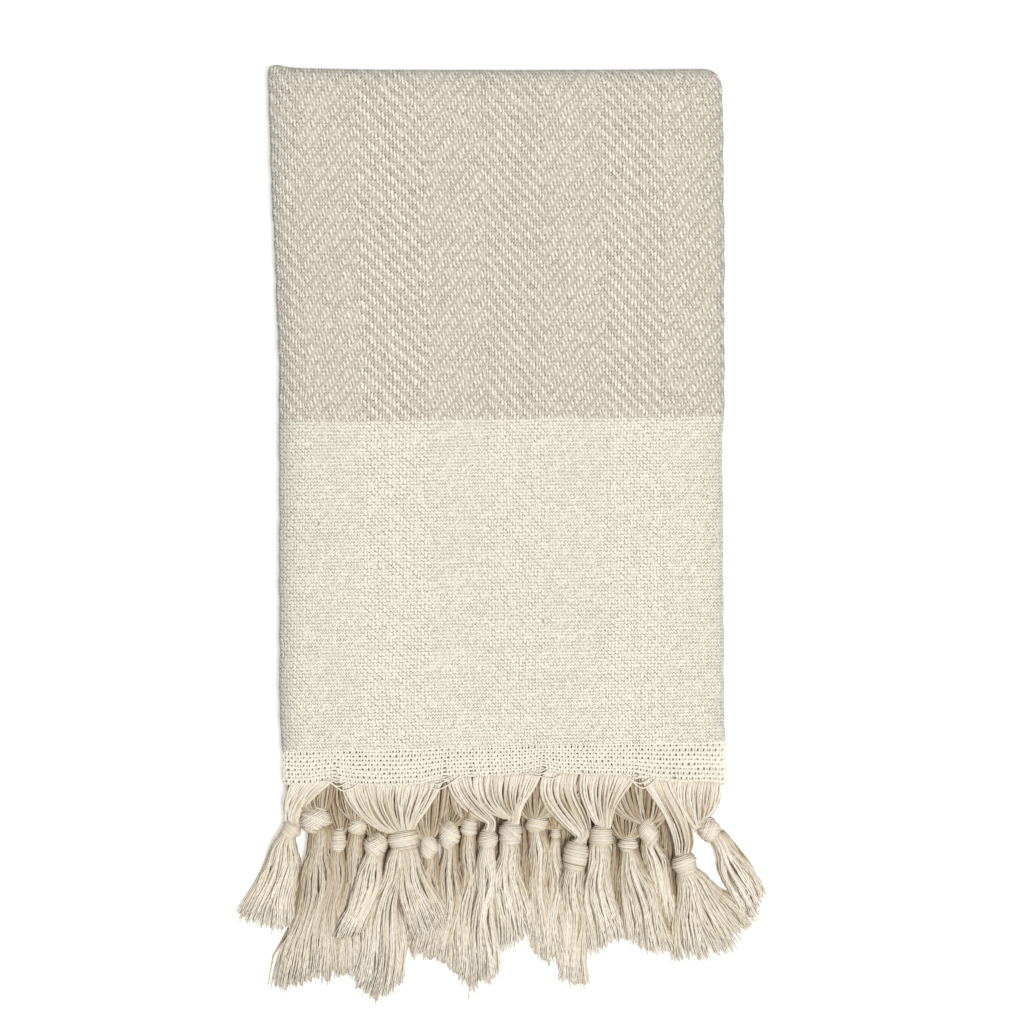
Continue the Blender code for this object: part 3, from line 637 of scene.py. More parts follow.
def make_fan(bundle, rng):
    """The fan: each thread runs from the cloth to the knot on a cubic curve. In front the curve's points lie
    straight between those of the two outer threads; behind, a thread runs down first and comes in from the
    side. All then bend into the knot's neck. The layers under the first lie half a step aside in turn."""
    down, right = directions(bundle)
    neck = np.array([bundle.x, bundle.y]) - down * 0.30 * bundle.length
    behind = bundle.number not in FANS
    parts = []
    for under in range(FAN_LAYERS[behind]):
        starts = fan_starts(bundle, rng)
        count = len(starts)
        starts[:, 0] += rng.normal(0, 0.16, count) + (under % 2) * WARP_PITCH / 2
        starts[:, 2] -= FAN_STEP * under
        share = np.clip((np.arange(count) + 0.5) / count + rng.normal(0, 0.025, count), 0.0, 1.0)[:, None]
        place = 2.0 * share[:, 0] - 1.0
        dome = np.sqrt(1.0 - 0.9 * place ** 2)
        neck_z = bundle.height * (0.40 - 0.12 * under + 0.38 * dome)
        into = neck + right * (place * NECK * bundle.width)[:, None]
        if behind:
            end = into
            offset = end - starts[:, :2]
            first = starts[:, :2] + offset * (0.10, 0.55)
            second = end - offset * (0.55, 0.12)
        else:
            outer = np.array(FANS[bundle.number])
            first, second, end = (outer[row] * (1 - share) + outer[row + 3] * share for row in range(3))
            end = end + scattered(rng, count, 0.35) * right
        first_z = starts[:, 2] + 0.5 - 0.3 * under
        second_z = 0.5 * starts[:, 2] + 0.5 * neck_z + 0.6 * dome
        routes = bezier(starts, with_height(first, first_z), with_height(second, second_z),
                        with_height(end, neck_z), FAN_POINTS)
        along = shares(FAN_POINTS)
        bulge = np.sin(along * math.pi)
        wave = scattered(rng, count, 0.4) * np.sin(along * math.pi * 2 + between(rng, count, 0, 6))
        routes[:, :, 0] += wave * bulge
        routes[:, :, 2] += scattered(rng, count, 0.4) * bulge
        if not behind:
            length = np.linalg.norm(into - end, axis=1, keepdims=True)
            heading = (end - second) / (np.linalg.norm(end - second, axis=1, keepdims=True) + 0.01)
            on = bezier(routes[:, -1], with_height(end + heading * length * 0.4, neck_z),
                        with_height(into - down * length * 0.35, neck_z), with_height(into, neck_z), STALK_POINTS)
            routes = np.concatenate([routes, on[:, 1:]], axis=1)
        inside = routes[:, -1:] + np.append(down, 0.0) * 2.0
        inside[:, :, 2] = bundle.height / 2
        routes = np.concatenate([routes, inside], axis=1)
        radii = THREAD_RADIUS * np.linspace(1.14, 0.76, routes.shape[1]) * scattered(rng, count, 0.09, 1.0)
        # Painted shade: threads behind get more the lower their layer, and in front the lower layers get more towards
        # the knot; the luck is each thread's own tone.
        luck = np.abs(scattered(rng, count, 0.32))
        if behind:
            deep = luck + 0.30 + 0.14 * bundle.layer + 0.1 * under
        else:
            deep = 0.06 + (luck + 0.60 * under) * smooth(np.linspace(0.1, 1.6, routes.shape[1]))
        parts.append(yarns(routes, radii, FAN_SIDES[behind], first=under * FAN_NUMBERS, deep=deep))
    return parts


def make_knot(bundle, rng, first):
    """The knot: a ball stretched to the knot's size, wound with turns of yarn. Each turn is the ring where a
    slanted plane cuts the ball, and the next lies a yarn further on. In some knots a band of strands crosses
    over them the other way. A plain core closes it."""
    down, right = directions(bundle)
    foot = np.array([bundle.x, bundle.y])
    axis = np.append(down, 0.0)
    half_width = KNOT_WIDER * bundle.width / 2 - WRAP_RADIUS
    half_length = KNOT_LONGER * bundle.length / 2 - WRAP_RADIUS
    half_height = bundle.height / 2 - WRAP_RADIUS
    turns = max(5, int(round(2 * KNOT_END * half_length / (WRAP_STEP * WRAP_RADIUS))))

    def wound(place, swell, slant, angle, size, first, depth=1.0):
        """Turns by their place along the slanted axis and the angles of the ring round it there. They get the more
        painted shade the lower they lie on the knot's side and the nearer to its ends, and a random share more."""
        deep = depth * (0.10 + 0.55 * (1.0 - np.sin(angle)) + 0.25 * np.abs(place) ** 3)
        deep = deep + np.abs(scattered(rng, len(place), 0.10))
        lean = math.radians(slant)
        ring = np.sqrt(1.0 - BARREL * place ** 2) * swell
        to_right = place * math.sin(lean) + ring * np.cos(angle) * math.cos(lean)
        to_foot = place * math.cos(lean) - ring * np.cos(angle) * math.sin(lean)
        plan = foot + right * (half_width * to_right)[..., None] + down * (half_length * to_foot)[..., None]
        routes = with_height(plan, bundle.height / 2 + half_height * ring * np.sin(angle))
        return yarns(routes, size, 5, reference=axis, first=first, deep=deep)

    place = np.linspace(-KNOT_END, KNOT_END, turns)[:, None] + scattered(rng, turns, 0.012)
    angle = np.linspace(-0.04, 1.04, WRAP_POINTS)[None, :] * 2 * math.pi - math.pi / 2
    uneven = (scattered(rng, turns, 0.028, 1.0) + 0.02 * np.sin(angle * 2 + between(rng, turns))
              + 0.07 * np.sin(4.7 * place + rng.uniform(0, PHASES)))
    size = WRAP_RADIUS * scattered(rng, turns, 0.10, 1.0)
    parts = [wound(place, uneven, bundle.slant, angle, size, first)]
    first += turns
    if bundle.crossing:
        place = np.linspace(-0.42, 0.36, CROSSING_STRANDS)[:, None]
        angle = np.linspace(-0.03, 0.53, WRAP_POINTS)[None, :] * 2 * math.pi
        lifted = 0.90 + 0.17 * np.sin(np.linspace(0.0, math.pi, WRAP_POINTS))
        parts.append(wound(place, lifted, bundle.crossing, angle, WRAP_RADIUS, first, depth=0.7))
        first += CROSSING_STRANDS
    core_along = np.linspace(-1.0, 1.0, 9)
    core = with_height(foot + down * (core_along * 0.46 * bundle.length)[:, None], bundle.height / 2)[None]
    core_radius = (half_width - 0.5) * np.sqrt(np.maximum(1.0 - core_along ** 2, 0.02))
    # The core gets deep painted shade.
    parts.append(yarns(core, core_radius, 12, flatness=(half_height - 0.5) / (half_width - 0.5), first=first,
                       deep=0.9))
    return parts, first + 1


def make_skirt(bundle, skirt, rng, first):
    """A skirt's strands. At the knot's foot they fill an ellipse, in the pattern of a sunflower's seeds; at the
    tips they lie in a low heap between the two outer tips. Between, each runs on a quadratic curve that heads
    the knot's way first, with waves of its own and waves that its hank shares."""
    count = skirt.locks * STRANDS_PER_LOCK
    down, right = directions(bundle)
    half = ROOT_SPREAD * bundle.width
    parting = PARTING * half
    low, high = {-1: (-half, -parting), 0: (-half, half), 1: (parting, half)}[skirt.side]
    seed = np.arange(count)
    radius = np.sqrt((seed + 0.5) / count)
    sideways = radius * np.cos(seed * GOLDEN_ANGLE)
    upwards = radius * np.sin(seed * GOLDEN_ANGLE)
    width_there = np.maximum(1 - sideways * sideways, 0)
    across = 0.5 + (sideways * np.sqrt(width_there) + np.arcsin(np.clip(sideways, -1, 1))) / math.pi
    heaped = (0.5 + 0.5 * upwards / np.sqrt(np.maximum(width_there, 0.02)))[:, None]

    along = shares(STRAND_POINTS)[None, :]
    foot = np.array([bundle.x + ROOT_SHIFT.get(bundle.number, 0.0), bundle.y]) + down * 0.20 * bundle.length
    root = foot + right * ((low + high) / 2 + sideways * (high - low) / 2)[:, None]
    spot = np.clip(across + rng.normal(0, 0.022, count), -0.02, 1.02)[:, None]
    left, right_tip = np.array([[skirt.left_x, skirt.left_y], [skirt.right_x, skirt.right_y]])
    beyond = TIP_SPREAD / np.linalg.norm(right_tip - left) * (right_tip - left)
    whole = right_tip - left + 2 * beyond
    tip = left - beyond + spot * whole
    reach = np.linalg.norm(tip - root, axis=1, keepdims=True)
    heading = (tip - root) / reach
    hanks = math.ceil(skirt.locks / 2)
    hank = np.floor(across * hanks).astype(int).clip(0, hanks - 1)
    in_hank = ((across * hanks) % 1.0 - 0.5)[:, None]
    tip = tip + heading * (skirt.belly * 4.0 * spot * (1.0 - spot) + rng.normal(0.3, 1.8, hanks)[hank][:, None]
                           - np.abs(scattered(rng, count, 3.8)) + scattered(rng, count, 1.4, 2.0))
    leave = root + down * LEAVING * reach
    s = along[..., None]
    plan = (1 - s) ** 2 * root[:, None] + 2 * s * (1 - s) * leave[:, None] + s ** 2 * tip[:, None]
    bulge = skirt.bow * np.array([1.0, 0.0]) + (2.0 * spot - 1.0)[:, None] * FLARE * whole
    plan = plan + np.sin(s * math.pi) * bulge

    hank_phase = rng.uniform(0, PHASES) + 0.5 * np.arange(hanks) + rng.normal(0, 0.35, hanks)
    hank_swing = rng.normal(1.15, 0.25, hanks)
    own_phase, own_swing = rng.uniform(0, PHASES, (count, 2)), np.abs(rng.normal(0, 0.6, (count, 2)))
    distance = along * reach
    swing = (-CLUMPING * in_hank * HANK * np.sin(along * math.pi * 0.75)
             + hank_swing[hank][:, None] * np.sin(distance / 7.0 + hank_phase[hank][:, None])
             + own_swing[:, :1] * np.sin(distance / between(rng, count, 4.0, 8.0) + own_phase[:, :1])
             + own_swing[:, 1:] * np.sin(distance / between(rng, count, 1.6, 2.4) + own_phase[:, 1:]) * 0.3)
    strays = rng.random(count) < STRAYS
    swing += np.where(strays, rng.normal(0, 1.5, count), 0.0)[:, None] * smooth((along - 0.2) / 0.8)
    swing += scattered(rng, count, 1.0) * smooth((along - 0.72) / 0.28)
    turned = np.stack([-heading[:, 1], heading[:, 0]], axis=-1)
    plan = plan + (swing * smooth(along / 0.35))[..., None] * turned[:, None]

    root_z = (bundle.height / 2 + upwards * 0.32 * bundle.height)[:, None]
    beside = np.abs(2.0 * across - 1.0)[:, None]
    heap = (HIGH_SKIRT if skirt.rows == 2 else LOW_SKIRT) * np.sqrt(1.0 - 0.92 * np.clip(beside, 0, 1) ** 2)
    heap = heap * (0.55 + 0.60 * np.sqrt(1.0 - 3.6 * in_hank ** 2)) * (1.0 - 0.25 * along)
    rest_z = skirt.level * SECOND_LEVEL + STRAND_RADIUS + heaped * np.maximum(heap - 2 * STRAND_RADIUS, 0.2)
    drop = smooth(along / (0.30 + 0.30 * heaped))
    bumps = np.abs(scattered(rng, count, 0.15)) * np.sin(distance / 6.0 + own_phase[:, :1]) ** 2 * along
    z = root_z + drop * (rest_z - root_z) + bumps
    radii = STRAND_RADIUS * scattered(rng, count, 0.12, 1.0) * (1.0 - 0.5 * smooth((along - 0.75) / 0.25))
    # Painted shade: strands low in the heap, at the sides of a hank and of the skirt and just below the knot look
    # darker, with a random share of each strand's own. Skirts behind get more on the left, and it fades towards the
    # tips.
    deep = smooth((0.80 - heaped) / 0.65) * 0.95 + 1.3 * np.abs(in_hank) ** 3 + 0.42 * beside ** 3
    deep = deep + 0.35 * np.exp(-distance / 6.0) + np.abs(scattered(rng, count, 0.10))
    if bundle.layer and not skirt.level:
        deep = deep * (1.0 + REAR_SHADE) + np.interp(bundle.x, (-60.0, 50.0), (REAR_SHADE, 0.0)) * 0.8
    deep = deep * (1.0 - 0.75 * smooth((along - 0.5) / 0.5))
    return yarns(with_height(plan, z), radii, 4, first=first, deep=deep)


def passing_strands(bundle, rng, first):
    """Strands of the rearmost layers that hang straight behind the knots: each runs down from the cloth with
    two waves of its own, and they fill the bundle's share of the width but for the gaps that show through."""
    starts = fan_starts(bundle, rng)[:, :2].repeat(2, axis=0)
    starts = starts[(starts[:, 0] > PASSING_FROM) & (starts[:, 0] < PASSING_TO)]
    starts = starts[np.abs(starts[:, :1] - SEE_THROUGH).min(axis=1) > SEE_THROUGH_HALF]
    count = len(starts)
    along = shares(STRAND_POINTS)
    length = between(rng, count, 70.0, 88.0)
    x = starts[:, :1] + scattered(rng, count, 0.5) + 0.7 * np.sin(
        along * length / between(rng, count, 4.0, 7.0) + between(rng, count))
    z = between(rng, count, 0.5, 1.8) + 0.4 * np.sin(along * 9.0 + between(rng, count))
    routes = np.stack([x, starts[:, 1:] - along * length, z], axis=-1)
    # The strands behind get deep painted shade, with a random share of their own.
    return yarns(routes, STRAND_RADIUS * 1.15, 4, first=first, deep=0.72 + 0.2 * rng.random((count, 1)))


def make_tassel(bundle, material, rng):
    """One bundle from the cloth to its tips, as one piece that stands for its solid."""
    parts = make_fan(bundle, rng)
    knots, number = make_knot(bundle, rng, FAN_LAYERS[0] * FAN_NUMBERS)
    parts += knots
    for skirt in SKIRTS:
        if skirt.number == bundle.number:
            parts.append(make_skirt(bundle, skirt, rng, number))
            number += skirt.locks * STRANDS_PER_LOCK
    if bundle.layer:
        parts.append(passing_strands(bundle, rng, number))
    return joined(bundle.name.replace("tassel", "fringe"), parts, material)


# ---- materials ----
def math_node(operation, turned=False):
    """A method that puts its value and another into a Math node, or the other first."""
    def method(self, other=0.0):
        return self.nodes.calc(operation, *((other, self) if turned else (self, other)))
    return method


class Value:
    """A socket to reckon with: each sign of arithmetic puts a Math node into its tree."""
    __add__, __sub__, __rsub__ = math_node("ADD"), math_node("SUBTRACT"), math_node("SUBTRACT", turned=True)
    __mul__, __truediv__ = math_node("MULTIPLY"), math_node("DIVIDE")
    __lt__, __gt__, __abs__ = math_node("LESS_THAN"), math_node("GREATER_THAN"), math_node("ABSOLUTE")

    def __init__(self, nodes, socket):
        self.nodes, self.socket = nodes, socket


class Nodes:
    """Short ways to add nodes to a tree. A value given for a socket is linked if it is one, else set."""

    def __init__(self, tree):
        self.tree = tree

    def put(self, socket, value):
        """Link or set a socket."""
        if isinstance(value, Value):
            self.tree.links.new(value.socket, socket)
        else:
            socket.default_value = value

    def add(self, kind, values=(), **settings):
        """A node with its settings and inputs, as a list of its outputs' values."""
        node = self.tree.nodes.new(kind)
        for name, value in settings.items():
            setattr(node, name, value)
        for name, value in dict(values).items():
            self.put(node.inputs[name], value)
        return [Value(self, socket) for socket in node.outputs]

    def calc(self, operation, *values):
        """A Math node of this operation."""
        return self.add("ShaderNodeMath", enumerate(values), operation=operation)[0]

    def step(self, value, low, high, to_low=0.0, to_high=1.0):
        """A soft step between two values."""
        return self.add("ShaderNodeMapRange", {
            "Value": value, "From Min": low, "From Max": high, "To Min": to_low, "To Max": to_high,
        }, interpolation_type="SMOOTHSTEP")[0]

    def mixed(self, share, first, second, blend="MIX"):
        """Two colours mixed by a share."""
        return self.add("ShaderNodeMix", {0: share, 6: first, 7: second}, data_type="RGBA", blend_type=blend)[2]

    def toned(self, colour, tone):
        """A colour times another."""
        return self.mixed(1.0, colour, tone, "MULTIPLY")

    def apart(self, vector):
        """A vector's x and y."""
        return self.add("ShaderNodeSeparateXYZ", {"Vector": vector})[:2]

    def vector(self, x, y, z=0.0):
        """A vector from its three values."""
        return self.add("ShaderNodeCombineXYZ", {"X": x, "Y": y, "Z": z})[0]

    def noise(self, x, y, z=0.0, detail=2.0, roughness=0.5):
        """Soft noise at a place, about one cell to a unit."""
        return self.add("ShaderNodeTexNoise", {
            "Vector": self.vector(x, y, z), "Scale": 1.0, "Detail": detail, "Roughness": roughness})[0]

    def chance(self, x, y, z=0.0):
        """An even random number for each whole cell."""
        return self.add("ShaderNodeTexWhiteNoise", {"Vector": self.vector(x, y, z)}, noise_dimensions="3D")[0]


def new_group(name, inputs):
    """A new shader group with a colour and a height as outputs, and named inputs given as name: (kind, default).
    It comes with its inputs' values, and a function that takes the outputs' values."""
    tree = bpy.data.node_groups.new(name, "ShaderNodeTree")
    for label, (kind, default) in inputs.items():
        socket = tree.interface.new_socket(label, in_out="INPUT", socket_type=kind)
        if default is not None:
            socket.default_value = default
    for label, kind in (("Colour", COLOUR), ("Height", FLOAT)):
        tree.interface.new_socket(label, in_out="OUTPUT", socket_type=kind)
    nodes = Nodes(tree)
    given = dict(zip(inputs, nodes.add("NodeGroupInput")))

    def finish(**values):
        nodes.add("NodeGroupOutput", values)
        return tree

    return nodes, given, finish


FLOAT, COLOUR, VECTOR = "NodeSocketFloat", "NodeSocketColor", "NodeSocketVector"
BAND_SHADOW = (0.72, 0.65, 0.55, 1.0)
FRINGE_SHADOW = (0.465, 0.38, 0.26, 1.0)
# The blue-grey of the painted shade near the folds.
FOLD_SHADE = (0.60, 0.63, 0.66, 1.0)
SHADOW = (0.25, 0.21, 0.16, 1.0)
FLECK = (0.24, 0.17, 0.11, 1.0)
FLECK_CHANCE = 0.99985       # a crossing is a husk's fleck past this luck
WOBBLE = 0.56                # how far the yarns' outlines wobble, in yarns


def herringbone_group():
    """The 2 and 2 herringbone. A warp lies over two wefts and under two; from one warp to the next the place
    moves by one weft, up to the right in one stripe and down in the next. Each yarn's height is its rise in
    the weave times the round of its section, the higher yarn shows, and where both are low it is a shadow."""
    n, given, finish = new_group("herringbone", {
        "Threads": (VECTOR, None), "Warp": (COLOUR, None), "Weft": (COLOUR, None), "End Weft": (COLOUR, None),
        "Shadow": (COLOUR, None), "End Wefts": (FLOAT, 106.0), "All Wefts": (FLOAT, 412.0),
        "Lean": (FLOAT, 0.36), "Warp Width": (FLOAT, 0.52), "Weft Width": (FLOAT, 0.62),
    })
    across, along = n.apart(given["Threads"])
    u = across + (n.noise(across * 0.30, along * 0.05, detail=3.0) - 0.5) * 1.1
    v = along + (n.noise(across * 0.06, along * 0.35, 7.0, detail=3.0) - 0.5) * 0.9
    warp, weft = n.calc("FLOOR", u), n.calc("FLOOR", v)
    rising = n.calc("WRAP", u - FIRST_TURN, 2 * WARPS_PER_STRIPE, 0.0) < WARPS_PER_STRIPE
    at_end = (weft < given["End Wefts"]) + (weft > given["All Wefts"] - given["End Wefts"] - 0.5)

    def by_stripe(falling, risen):
        """One value where the pattern falls to the right, and one where it rises."""
        return rising * (risen - falling) + falling

    def by_part(beige, cream):
        """One value in the beige part, and one at the cream ends."""
        return at_end * (cream - beige) + beige

    def climb(place):
        """How many wefts further up the pattern lies at a warp."""
        return n.calc("PINGPONG", place - FIRST_TURN, WARPS_PER_STRIPE)

    def wobbled(value, seed):
        """A place with the yarns' uneven outlines, by a noise of its own."""
        return value + (n.noise(u * 0.9, v * 0.9, seed, detail=1.0) - 0.5) * WOBBLE

    def quarter_wave(phase):
        """The cosine of a phase in wefts: the weave repeats after four."""
        return n.calc("COSINE", phase * (math.pi / 2))

    def rounded(off, half, power):
        """The round of a yarn's section, off its middle: (1 - (off / half)^2)^power."""
        share = off / half
        return n.calc("POWER", n.calc("MAXIMUM", 1.0 - share * share, 0.0), power)

    bent_u, bent_v = wobbled(u, 30.0), wobbled(v, 60.0)
    slant = given["Lean"] * by_stripe(0.25, 1.0)
    ragged = by_stripe(0.50, 0.30)

    def warp_at(number):
        """One warp's height here and the luck of its tone."""
        luck = n.chance(number, 3.0)
        phase = v + (luck - 0.5) * 0.5 - climb(number + 0.5)
        off = bent_u - number - 0.5 - slant * quarter_wave(phase)
        float_luck = n.chance(number, n.calc("FLOOR", phase / 4.0), 21.0)
        slub = (n.noise(number, v * 0.22, 3.0, detail=1.0) - 0.5) * 0.20
        half = given["Warp Width"] + slub + by_stripe(-0.05, 0.0)
        height = (quarter_wave(phase - 1.0) * 0.39 + 0.63) * rounded(off, half, 0.75)
        return height * ((float_luck - 0.5) * ragged + 1.0), float_luck * 0.6 + luck * 0.4

    off_warp, off_weft = n.calc("FRACT", bent_u) - 0.5, bent_v - weft - 0.5
    here, here_tone = warp_at(warp)
    beside, beside_tone = warp_at(warp + (n.calc("FRACT", u) > 0.5) * 2.0 - 1.0)
    warp_height = n.calc("MAXIMUM", here, beside)
    warp_tone = here_tone + (beside > here) * (beside_tone - here_tone)

    weft_luck = n.chance(5.0, weft)
    weft_phase = weft + 0.5 - climb(u + (weft_luck - 0.5) * 0.4)
    weft_float = n.chance(n.calc("FLOOR", u / 3.0), weft, 41.0)
    weft_half = given["Weft Width"] + (n.noise(u * 0.22, weft, 9.0, detail=1.0) - 0.5) * 0.16
    weft_height = (0.53 - quarter_wave(weft_phase - 1.0) * 0.17) * rounded(off_weft, weft_half, 0.5)
    weft_tone = weft_float * 0.7 + weft_luck * 0.3
    height = n.calc("SMOOTH_MAX", warp_height, weft_height, 0.2)
    warp_shows = n.step(warp_height - weft_height, -0.06, 0.24)

    colour = n.mixed(warp_shows * by_stripe(0.79, 0.88),
                     n.mixed(at_end, given["Weft"], given["End Weft"]), given["Warp"])
    luck = weft_tone + warp_shows * (warp_tone - weft_tone)
    fuzz = n.noise(u * 2.5, v * 2.5, roughness=0.6) - 0.5
    tone = luck * 0.16 + 0.92 + fuzz * by_part(1.55, 1.30)
    colour = n.toned(colour, n.add("ShaderNodeCombineColor", {0: tone, 1: tone, 2: tone})[0])

    # The holes at the yarns' corners, the seams between warps and the low places are in shadow.
    slanted_u, slanted_v = bent_u + off_weft * 0.35, bent_v + off_warp * 0.45
    hole_luck = n.chance(n.calc("ROUND", slanted_u), n.calc("ROUND", slanted_v), 17.0)
    turning = abs(quarter_wave(v - climb(u)))
    hole = (n.step(abs(n.calc("FRACT", slanted_u) - 0.5), by_part(0.20, 0.06), by_part(0.36, 0.26))
            * n.step(abs(n.calc("FRACT", slanted_v) - 0.5), 0.22, 0.38)
            * n.step(hole_luck, by_part(0.12, -0.18), 0.75, 0.25, 1.0)
            * by_part(1.0, 0.83) * (turning * by_part(0.65, 0.80) + by_part(0.35, 0.20)))
    seam = n.step(abs(off_warp), 0.28, 0.50) * by_stripe(0.26, 0.12) * by_part(1.0, 0.2)
    # Patches where the painted shade of the low places is stronger or weaker.
    shade_patches = n.step(n.noise(u * 0.8, v * 0.8, 90.0), 0.30, 0.72, 0.14, 0.46)
    low = n.step(height, 0.50, 0.10) * shade_patches * by_part(1.0, 0.65)
    hollow = n.calc("MAXIMUM", n.calc("MAXIMUM", low, seam), hole)
    colour = n.mixed(hollow, colour, n.toned(colour, given["Shadow"]))

    def fold(place, at, reach, depth):
        """The shade of a fold, halved at every reach away from it."""
        return n.calc("POWER", 2.0, abs(place - at) / -reach) * depth

    # Painted shade: the cloth darkens towards both side folds and the top fold.
    folded = n.calc("MAXIMUM", fold(across, FIRST_FOLD, 2.3, by_part(0.64, 1.10)), fold(across, LAST_FOLD, 1.8, 0.92))
    folded = n.calc("MAXIMUM", folded, fold(along, given["All Wefts"] * 0.5, 2.0, 0.66))
    colour = n.mixed(folded, colour, n.toned(colour, FOLD_SHADE))
    fleck = ((n.chance(warp, weft, 11.0) > FLECK_CHANCE) * n.step(abs(off_warp), 0.34, 0.22)
             * n.step(abs(off_weft), 0.42, 0.22))
    return finish(Colour=n.mixed(fleck * 0.8, colour, FLECK), Height=height - hole * 0.3)


def spun_group():
    """A spun cotton yarn, by its number and the distance along it: each yarn has its own tone, thicker and
    paler places, a twist that winds round it, with a little painted shade in its grooves, and fuzz. Deep mixes
    in painted shade of the Shadow colour."""
    n, given, finish = new_group("spun_yarn", {
        "Threads": (VECTOR, None), "Pale": (COLOUR, None), "Dark": (COLOUR, None), "Shadow": (COLOUR, None),
        "Deep": (FLOAT, 0.0), "Twist": (FLOAT, 4.2),
    })
    place, distance = n.apart(given["Threads"])
    number, around = n.calc("FLOOR", place), n.calc("FRACT", place)
    luck = n.chance(number, 1.0)
    patches = n.noise(number * 3.7, distance * 0.05)
    winding = luck * 17.0 + (around * 2.0 + distance / given["Twist"])
    twist = n.calc("COSINE", winding * (2 * math.pi)) * 0.5 + 0.5
    fuzz = n.noise(place * 6.0, distance * 0.7)
    pale = luck * 0.75 + (patches - 0.35) + (fuzz - 0.5) * 0.2
    colour = n.mixed(n.step(pale * 0.9 + twist * 0.1, 0.0, 1.0), given["Dark"], given["Pale"])
    # Deep lays painted shade over the yarn's own colour.
    return finish(Colour=n.mixed(given["Deep"], colour, n.toned(colour, given["Shadow"])),
                  Height=twist + fuzz * 0.5)


def cotton(name, group, values, relief):
    """A matte cotton from a group's colour and height. The relief is the depth of its bumps, in metres."""
    material = bpy.data.materials.new(name)
    material.use_nodes = True
    n = Nodes(material.node_tree)
    shader = material.node_tree.nodes["Principled BSDF"]
    values = {"Threads": n.add("ShaderNodeUVMap", uv_map="Threads")[0], **values}
    if group.name == "spun_yarn":
        # Deep is each point's painted shade, kept on the mesh.
        values["Deep"] = n.add("ShaderNodeAttribute", attribute_name="Deep")[2]
    effect = n.tree.nodes.new("ShaderNodeGroup")
    effect.node_tree = group
    for label, value in values.items():
        n.put(effect.inputs[label], value)
    colour, height = (Value(n, effect.outputs[label]) for label in ("Colour", "Height"))
    bump = n.add("ShaderNodeBump", {"Strength": 1.0, "Distance": relief, "Height": height})[0]
    for label, value in {"Base Color": colour, "Normal": bump, "Roughness": 0.88, "Specular IOR Level": 0.18,
                         "Sheen Weight": 0.12, "Sheen Roughness": 0.6}.items():
        n.put(shader.inputs[label], value)
    return material


# ---- the add-on ----
def length_setting(name, description, default, low, high):
    """A length that a user may change, in metres."""
    return bpy.props.FloatProperty(name=name, description=description, default=default, min=low, max=high,
                                   unit="LENGTH", precision=5)


def colour_setting(name, description, red, green, blue):
    """A colour that a user may change."""
    return bpy.props.FloatVectorProperty(name=name, description=description, subtype="COLOR", size=4, min=0.0,
                                         max=1.0, default=(red, green, blue, 1.0))


class TowelSizes(bpy.types.PropertyGroup):
    """The towel's sizes that a user would change."""
    sheet_thickness: length_setting("Cloth thickness", "How thick one layer of the cloth is",
                                    SHEET_THICKNESS * MM, 0.0005, 0.003)
    weave_relief: length_setting("Weave relief", "How deep the weave's bumps are", 0.0006, 0.0, 0.002)
    twist_relief: length_setting("Twist relief", "How deep the twist of a fringe yarn is", 0.0001, 0.0, 0.001)


class TowelColours(bpy.types.PropertyGroup):
    """The towel's colours."""
    warp: colour_setting("Warp", "The natural cotton warp", 0.885, 0.835, 0.72)
    beige_weft: colour_setting("Beige weft", "The weft of the long middle part", 0.62, 0.553, 0.46)
    cream_weft: colour_setting("Cream weft", "The weft of the two ends", 0.81, 0.76, 0.63)
    fringe_pale: colour_setting("Fringe, pale", "The palest fringe yarns", 0.905, 0.85, 0.745)
    fringe_deep: colour_setting("Fringe, deep", "The deepest fringe yarns", 0.75, 0.67, 0.535)


class TOWEL_OT_cloth(bpy.types.Operator):
    """Make the folded herringbone sheet and the plain woven bands at its two ends"""
    bl_idname = "towel.cloth"
    bl_label = "Cloth"

    def execute(self, context):
        sizes, colours = context.scene.towel_sizes, context.scene.towel_colours
        weave = cotton("towel_herringbone", herringbone_group(), {
            "Warp": tuple(colours.warp), "Weft": tuple(colours.beige_weft), "End Weft": tuple(colours.cream_weft),
            "Shadow": SHADOW}, sizes.weave_relief)
        plain = cotton("towel_plain_band", spun_group(), {
            "Pale": tuple(colours.warp), "Dark": tuple(colours.cream_weft), "Shadow": BAND_SHADOW},
            sizes.twist_relief)
        sheet = make_sheet(weave, sizes.sheet_thickness)
        rng = np.random.default_rng(SEED)
        bands = [make_band("front_band", plain, True, rng), make_band("back_band", plain, False, rng)]
        for piece in [sheet, *bands]:
            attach(piece, "root")
        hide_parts("cloth")
        return {"FINISHED"}


class TOWEL_OT_fringe(bpy.types.Operator):
    """Make the knotted bundles of fringe"""
    bl_idname = "towel.fringe"
    bl_label = "Fringe"

    def execute(self, context):
        sizes, colours = context.scene.towel_sizes, context.scene.towel_colours
        material = cotton("towel_fringe", bpy.data.node_groups["spun_yarn"], {
            "Pale": tuple(colours.fringe_pale), "Dark": tuple(colours.fringe_deep), "Shadow": FRINGE_SHADOW},
            sizes.twist_relief)
        rng = np.random.default_rng(SEED)
        for bundle in BUNDLES:
            piece = make_tassel(bundle, material, rng)
            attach(piece, "root")
            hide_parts(bundle.name)
        return {"FINISHED"}


PHOTO_SIDE = 1024.0
MM_PER_PIXEL = 0.55
PHOTO_MIDDLE = (4.7, 11.0)   # the point of the towel at the picture's middle
CAMERA_HEIGHT = 2000.0
SENSOR = 36.0
NEAR, FAR = 0.05, 20.0       # metres, as are the stage's sizes below
FLOOR_HALF, FLOOR_Z = 4.0, -0.0002
Lamp = namedtuple("Lamp", "name place width power")
LAMPS = table(Lamp, ("key", (3.0, -2.0, 6.4), 3.8, 470.0), ("fill", (-4.0, 0.8, 6.8), 6.4, 56.0))
SKY, SKY_STRENGTH = (0.97, 0.985, 1.0, 1.0), 0.42
FLOOR_LOOK = {"Base Color": (0.93, 0.93, 0.93, 1.0), "Roughness": 0.9, "Emission Color": (1.0, 1.0, 1.0, 1.0),
              "Emission Strength": 0.30}


